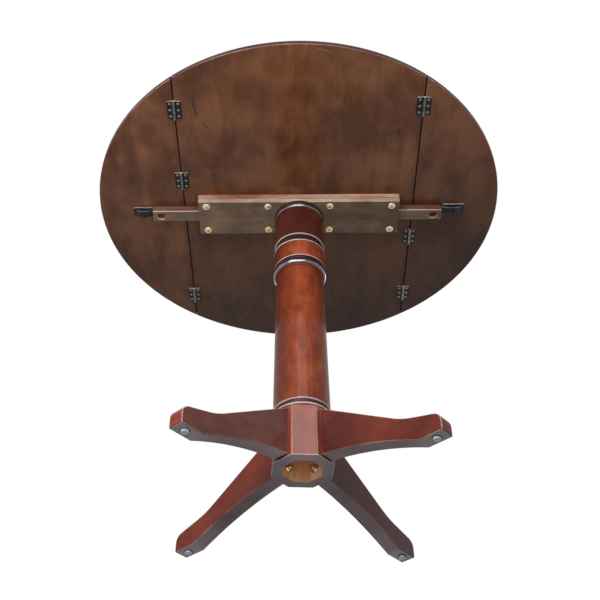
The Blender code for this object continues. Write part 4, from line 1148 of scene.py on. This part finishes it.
def stop_flange(length, half):
    reach = length + STOP_FLANGE_OVERHANG
    corners = [(STOP_EDGE, -half), (reach, -half), (reach, half), (STOP_EDGE, half)]
    outline = []
    for i, corner in enumerate(corners):
        after = corners[(i + 1) % len(corners)]
        outline += rounded_corner(corners[i - 1], corner, after, STOP_FLANGE_CORNER, 6)
    bm = prism(outline, -STOP_FLANGE_HEIGHT, 0)
    ease(bm, STOP_FLANGE_EDGE, 2)
    # The flange's sides take painted highlight
    repaint(bm, STOP_SLOTS["flange_highlight"], lambda face: abs(face.normal.z) < 0.9)
    return bm


def build_stop(side):
    node = f"{side}_slide_stop"
    low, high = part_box(node)
    length = high.x - low.x - STOP_FLANGE_OVERHANG
    crown_x = length - STOP_CROWN_SETBACK
    screw_steps = (-STOP_SCREW_SPACING / 2, STOP_SCREW_SPACING / 2)
    holes = bmesh.new()
    for step in screw_steps:
        matrix = Matrix.Translation((crown_x, step, -STOP_FLOOR - CUT_ROOM))
        add_drill(holes, STOP_SCREW_HOLE_RADIUS, 2 * CUT_ROOM, 28, matrix, STOP_SLOTS["hole"])
    steps = [("UNION", stop_flange(length, (high.y - low.y) / 2)), ("DIFFERENCE", holes)]
    bm = carved(stop_body(length), steps, len(STOP_SLOTS))
    sign, body = SIDES[side], f"{side}_leaf_body"
    inner, middle = (low.x if sign > 0 else high.x), (low.y + high.y) / 2
    matrix = set_at(side, inner, middle, high.z)
    place_piece(f"{node}_dressed", bm, STOP_FINISHES.values(), body, (node,), matrix)
    spots = [(inner + sign * crown_x, middle + step) for step in screw_steps]
    level = high.z - STOP_FLOOR - STOP_SCREW_DROP
    small_screws(f"{node}_screws", spots, STOP_SCREW_RADIUS, level, body)


for side in SIDES:
    build_stop(side)


# Materials of the CAD pieces that stay

SEAM_X = box_middle("right_near_hinge_pin").x
FINISHES = {
    "_plate": BRONZE, "_pin": PIN_METAL_AND_HIGHLIGHT, "_board": BOARD_WOOD, "_rail": RAIL_WOOD, "_plug": RAW_WOOD,
    "_dowel": RAW_HOLE, "_bolt": BRIGHT_STEEL, "_nut": BRIGHT_STEEL, "_glide": GLIDE,
}


def painted(group, geometry, material, *tests):
    """Gives a material to the faces where every test (value, comparison, limit) holds."""
    chosen = None
    for value, comparison, limit in tests:
        holds = calc(group, comparison, value, limit)
        chosen = holds if chosen is None else times(group, chosen, holds)
    return add(group, "GeometryNodeSetMaterial", {0: geometry, 1: chosen, 2: material})


def soft_shading(name, rubbed=False):
    """Nodes that weld a piece, shade it round between sharp edges and can paint highlights on a hinge."""
    group = bpy.data.node_groups.new(name, "GeometryNodeTree")
    for way in ("INPUT", "OUTPUT"):
        group.interface.new_socket("Geometry", in_out=way, socket_type="NodeSocketGeometry")
    start = add(group, "NodeGroupInput")
    bare = add(group, "GeometryNodeRemoveAttribute", {"Geometry": start, "Name": "custom_normal"})
    welded = add(group, "GeometryNodeMergeByDistance", {"Geometry": bare, "Distance": CAD_WELD})
    smooth = add(group, "GeometryNodeSetShadeSmooth", {0: welded}, domain="FACE")
    angle = add(group, "GeometryNodeInputMeshEdgeAngle")
    limits = {0: angle, 1: radians(CAD_SHARP_ANGLE)}
    sharp = add(group, "FunctionNodeCompare", limits, operation="GREATER_THAN")
    result = add(group, "GeometryNodeSetShadeSmooth", {0: smooth, 1: sharp, 2: False}, domain="EDGE")
    if rubbed:
        # Painted highlight: a pale line under the barrel and pale plate ends
        facing = split_xyz(group, add(group, "GeometryNodeInputNormal"))
        place = split_xyz(group, add(group, "GeometryNodeInputPosition"))
        from_seam = calc(group, "SUBTRACT", calc(group, "ABSOLUTE", place[0]), SEAM_X)
        at_barrel = (calc(group, "ABSOLUTE", from_seam), "LESS_THAN", BARREL_LINE)
        result = painted(group, result, PIN_METAL_AND_HIGHLIGHT, (facing[2], "LESS_THAN", -0.7), at_barrel)
        at_end = (calc(group, "ABSOLUTE", facing[1]), "GREATER_THAN", 0.9)
        result = painted(group, result, HINGE_END_HIGHLIGHT, at_end)
    add(group, "NodeGroupOutput", {0: result})
    return group


SHADING = soft_shading("soft_shading")
HINGE_SHADING = soft_shading("hinge_shading", rubbed=True)
for name, node in NODES.items():
    if node.hide_render:
        continue
    finish = next(material for ending, material in FINISHES.items() if name.endswith(ending))
    node.data.materials.clear()
    node.data.materials.append(finish)
    if not name.endswith(("_board", "_rail")):
        modifier = node.modifiers.new("soft_shading", "NODES")
        modifier.node_group = HINGE_SHADING if "_plate" in name else SHADING


# Stage, light and camera

FLOOR_DROP = 0.0004
FLOOR_RADIUS = 9.0
FLOOR_WHITE = 0.3
SEE_THROUGH = 0.03
WHITE = (1.0, 1.0, 1.0)
WARM = (1.0, 0.98, 0.95)
COOL = (0.93, 0.96, 1.0)
SKY = (0.88, 0.94, 1.0)
SKY_LEVEL = 0.12

# Place, target, size, watts, colour and whether the floor is spared, to show no bright patch
LAMPS = {
    "overhead": ((0.0, 0.3, 3.4), (0, 0.3, 0), (4.0, 4.0), 50.0, WHITE, False),
    "key": ((-1.19, -2.15, 1.47), (0, 0, 0.5), (1.2, 0.4), 28.0, WARM, True),
    "front": ((0.12, -2.04, 1.43), (0, -0.056, 0.11), (1.4, 1.1), 15.0, WHITE, False),
    "low": ((-0.4, -1.33, 0.03), (0, -0.2, 0.74), (1.5, 1.0), 18.5, COOL, True),
    "strip": ((-0.1, -1.85, 0.42), (0, 0, 0.6), (1.5, 0.4), 14.5, SKY, True),
    "left": ((-2.27, -0.61, 0.95), (0, 0, 0.45), (1.0, 0.8), 4.0, WHITE, False),
    "right": ((1.75, 1.75, 1.1), (0, 0, 0.45), (1.0, 0.8), 10.0, WHITE, True),
    "back": ((-0.5, 2.3, 1.25), (0, 0, 0.4), (1.4, 1.0), 20.0, WHITE, True),
    "bounce": ((0.0, 0.0, 0.004), (0, 0, 0.5), (0.05, 0.05), 0.016, WHITE, True),
}

# Camera, fitted to the photograph. Its angles are azimuth, elevation and roll in degrees
CAMERA_ANGLES = (-0.496, -46.077, -0.726)
CAMERA_PLACE = (-0.0173, -1.5361, -0.8666)
CAMERA_SENSOR = 36.0
CAMERA_LENS = 57.58
CAMERA_SHIFT = (0.0047, -0.1428)


def seen_rays(tree):
    """One for rays that show a background: from the camera, or reflected or passed to it."""
    path = add(tree, "ShaderNodeLightPath").outputs
    seen = calc(tree, "MAXIMUM", path["Is Camera Ray"], path["Is Glossy Ray"])
    return calc(tree, "MAXIMUM", seen, path["Is Transmission Ray"])


def floor_material():
    """Pale near the table, white far out, and clear from below and close by."""
    material, tree, shader = new_material("pale_floor")
    place = add(tree, "ShaderNodeTexCoord").outputs["Object"]
    colour = mix(tree, noise(tree, place, 3.0), (0.72, 0.73, 0.74, 1), (0.76, 0.77, 0.78, 1))
    feed(tree, shader, {"Base Color": colour, "Roughness": 0.9, "Specular IOR Level": 0.1})
    away = vector_calc(tree, "LENGTH", place, output="Value")
    pale = times(tree, seen_rays(tree), fade(tree, away, 1.1, 3.6, FLOOR_WHITE, 1.0))
    white = add(tree, "ShaderNodeEmission", {"Color": (*WHITE, 1.0)})
    lit = add(tree, "ShaderNodeMixShader", {0: pale, 1: shader, 2: white})
    back = add(tree, "ShaderNodeNewGeometry").outputs["Backfacing"]
    near = calc(tree, "LESS_THAN", add(tree, "ShaderNodeLightPath").outputs["Ray Length"], SEE_THROUGH)
    hidden = calc(tree, "MAXIMUM", back, near)
    clear = add(tree, "ShaderNodeBsdfTransparent")
    both = add(tree, "ShaderNodeMixShader", {0: hidden, 1: lit, 2: clear})
    feed(tree, tree.nodes["Material Output"], {"Surface": both})
    return material


def build_floor():
    bm = bmesh.new()
    bmesh.ops.create_circle(bm, cap_ends=True, segments=96, radius=FLOOR_RADIUS)
    for face in bm.faces:
        if face.normal.z < 0:
            face.normal_flip()
    mesh = mesh_from(bm, "floor")
    mesh.materials.append(floor_material())
    floor = bpy.data.objects.new("floor", mesh)
    floor.location.z = CAD_LOW.z - FLOOR_DROP
    link(floor)
    return floor


def build_world():
    world = bpy.data.worlds.new("studio")
    bpy.context.scene.world = world
    world.use_nodes = True
    tree = world.node_tree
    soft = tree.nodes["Background"]
    feed(tree, soft, {"Color": (*SKY, 1.0), "Strength": SKY_LEVEL})
    white = add(tree, "ShaderNodeBackground", {"Color": (*WHITE, 1.0)})
    both = add(tree, "ShaderNodeMixShader", {0: seen_rays(tree), 1: soft, 2: white})
    feed(tree, tree.nodes["World Output"], {"Surface": both})


def add_softbox(name, place, target, size, power, colour, spares_floor):
    light = bpy.data.lights.new(name, "AREA")
    light.shape = "RECTANGLE"
    light.size, light.size_y = size
    light.energy = power
    light.color = colour
    lamp = bpy.data.objects.new(name, light)
    lamp.location = place
    lamp.rotation_euler = (Vector(target) - Vector(place)).to_track_quat("-Z", "Y").to_euler()
    lamp.visible_camera = False
    link(lamp)
    if spares_floor:
        receivers = bpy.data.collections.new(f"{name}_receivers")
        receivers.objects.link(FLOOR)
        receivers.collection_objects[0].light_linking.link_state = "EXCLUDE"
        lamp.light_linking.receiver_collection = receivers


def build_camera():
    azimuth, elevation, roll = map(radians, CAMERA_ANGLES)
    level = cos(elevation)
    back = Vector((sin(azimuth) * level, -cos(azimuth) * level, sin(elevation)))
    right = (-back).cross(Vector((0, 0, 1))).normalized()
    up = right.cross(-back)
    across = cos(roll) * right + sin(roll) * up
    upward = -sin(roll) * right + cos(roll) * up
    matrix = Matrix((across, upward, back)).transposed().to_4x4()
    matrix.translation = CAMERA_PLACE
    camera = bpy.data.cameras.new("camera")
    camera.sensor_width = CAMERA_SENSOR
    camera.lens = CAMERA_LENS
    camera.shift_x, camera.shift_y = CAMERA_SHIFT
    rig = bpy.data.objects.new("camera", camera)
    rig.matrix_world = matrix
    link(rig)
    bpy.context.scene.camera = rig


FLOOR = build_floor()
build_world()
for name, settings in LAMPS.items():
    add_softbox(f"{name}_softbox", *settings)
build_camera()
bpy.context.scene.view_settings.view_transform = "Standard"
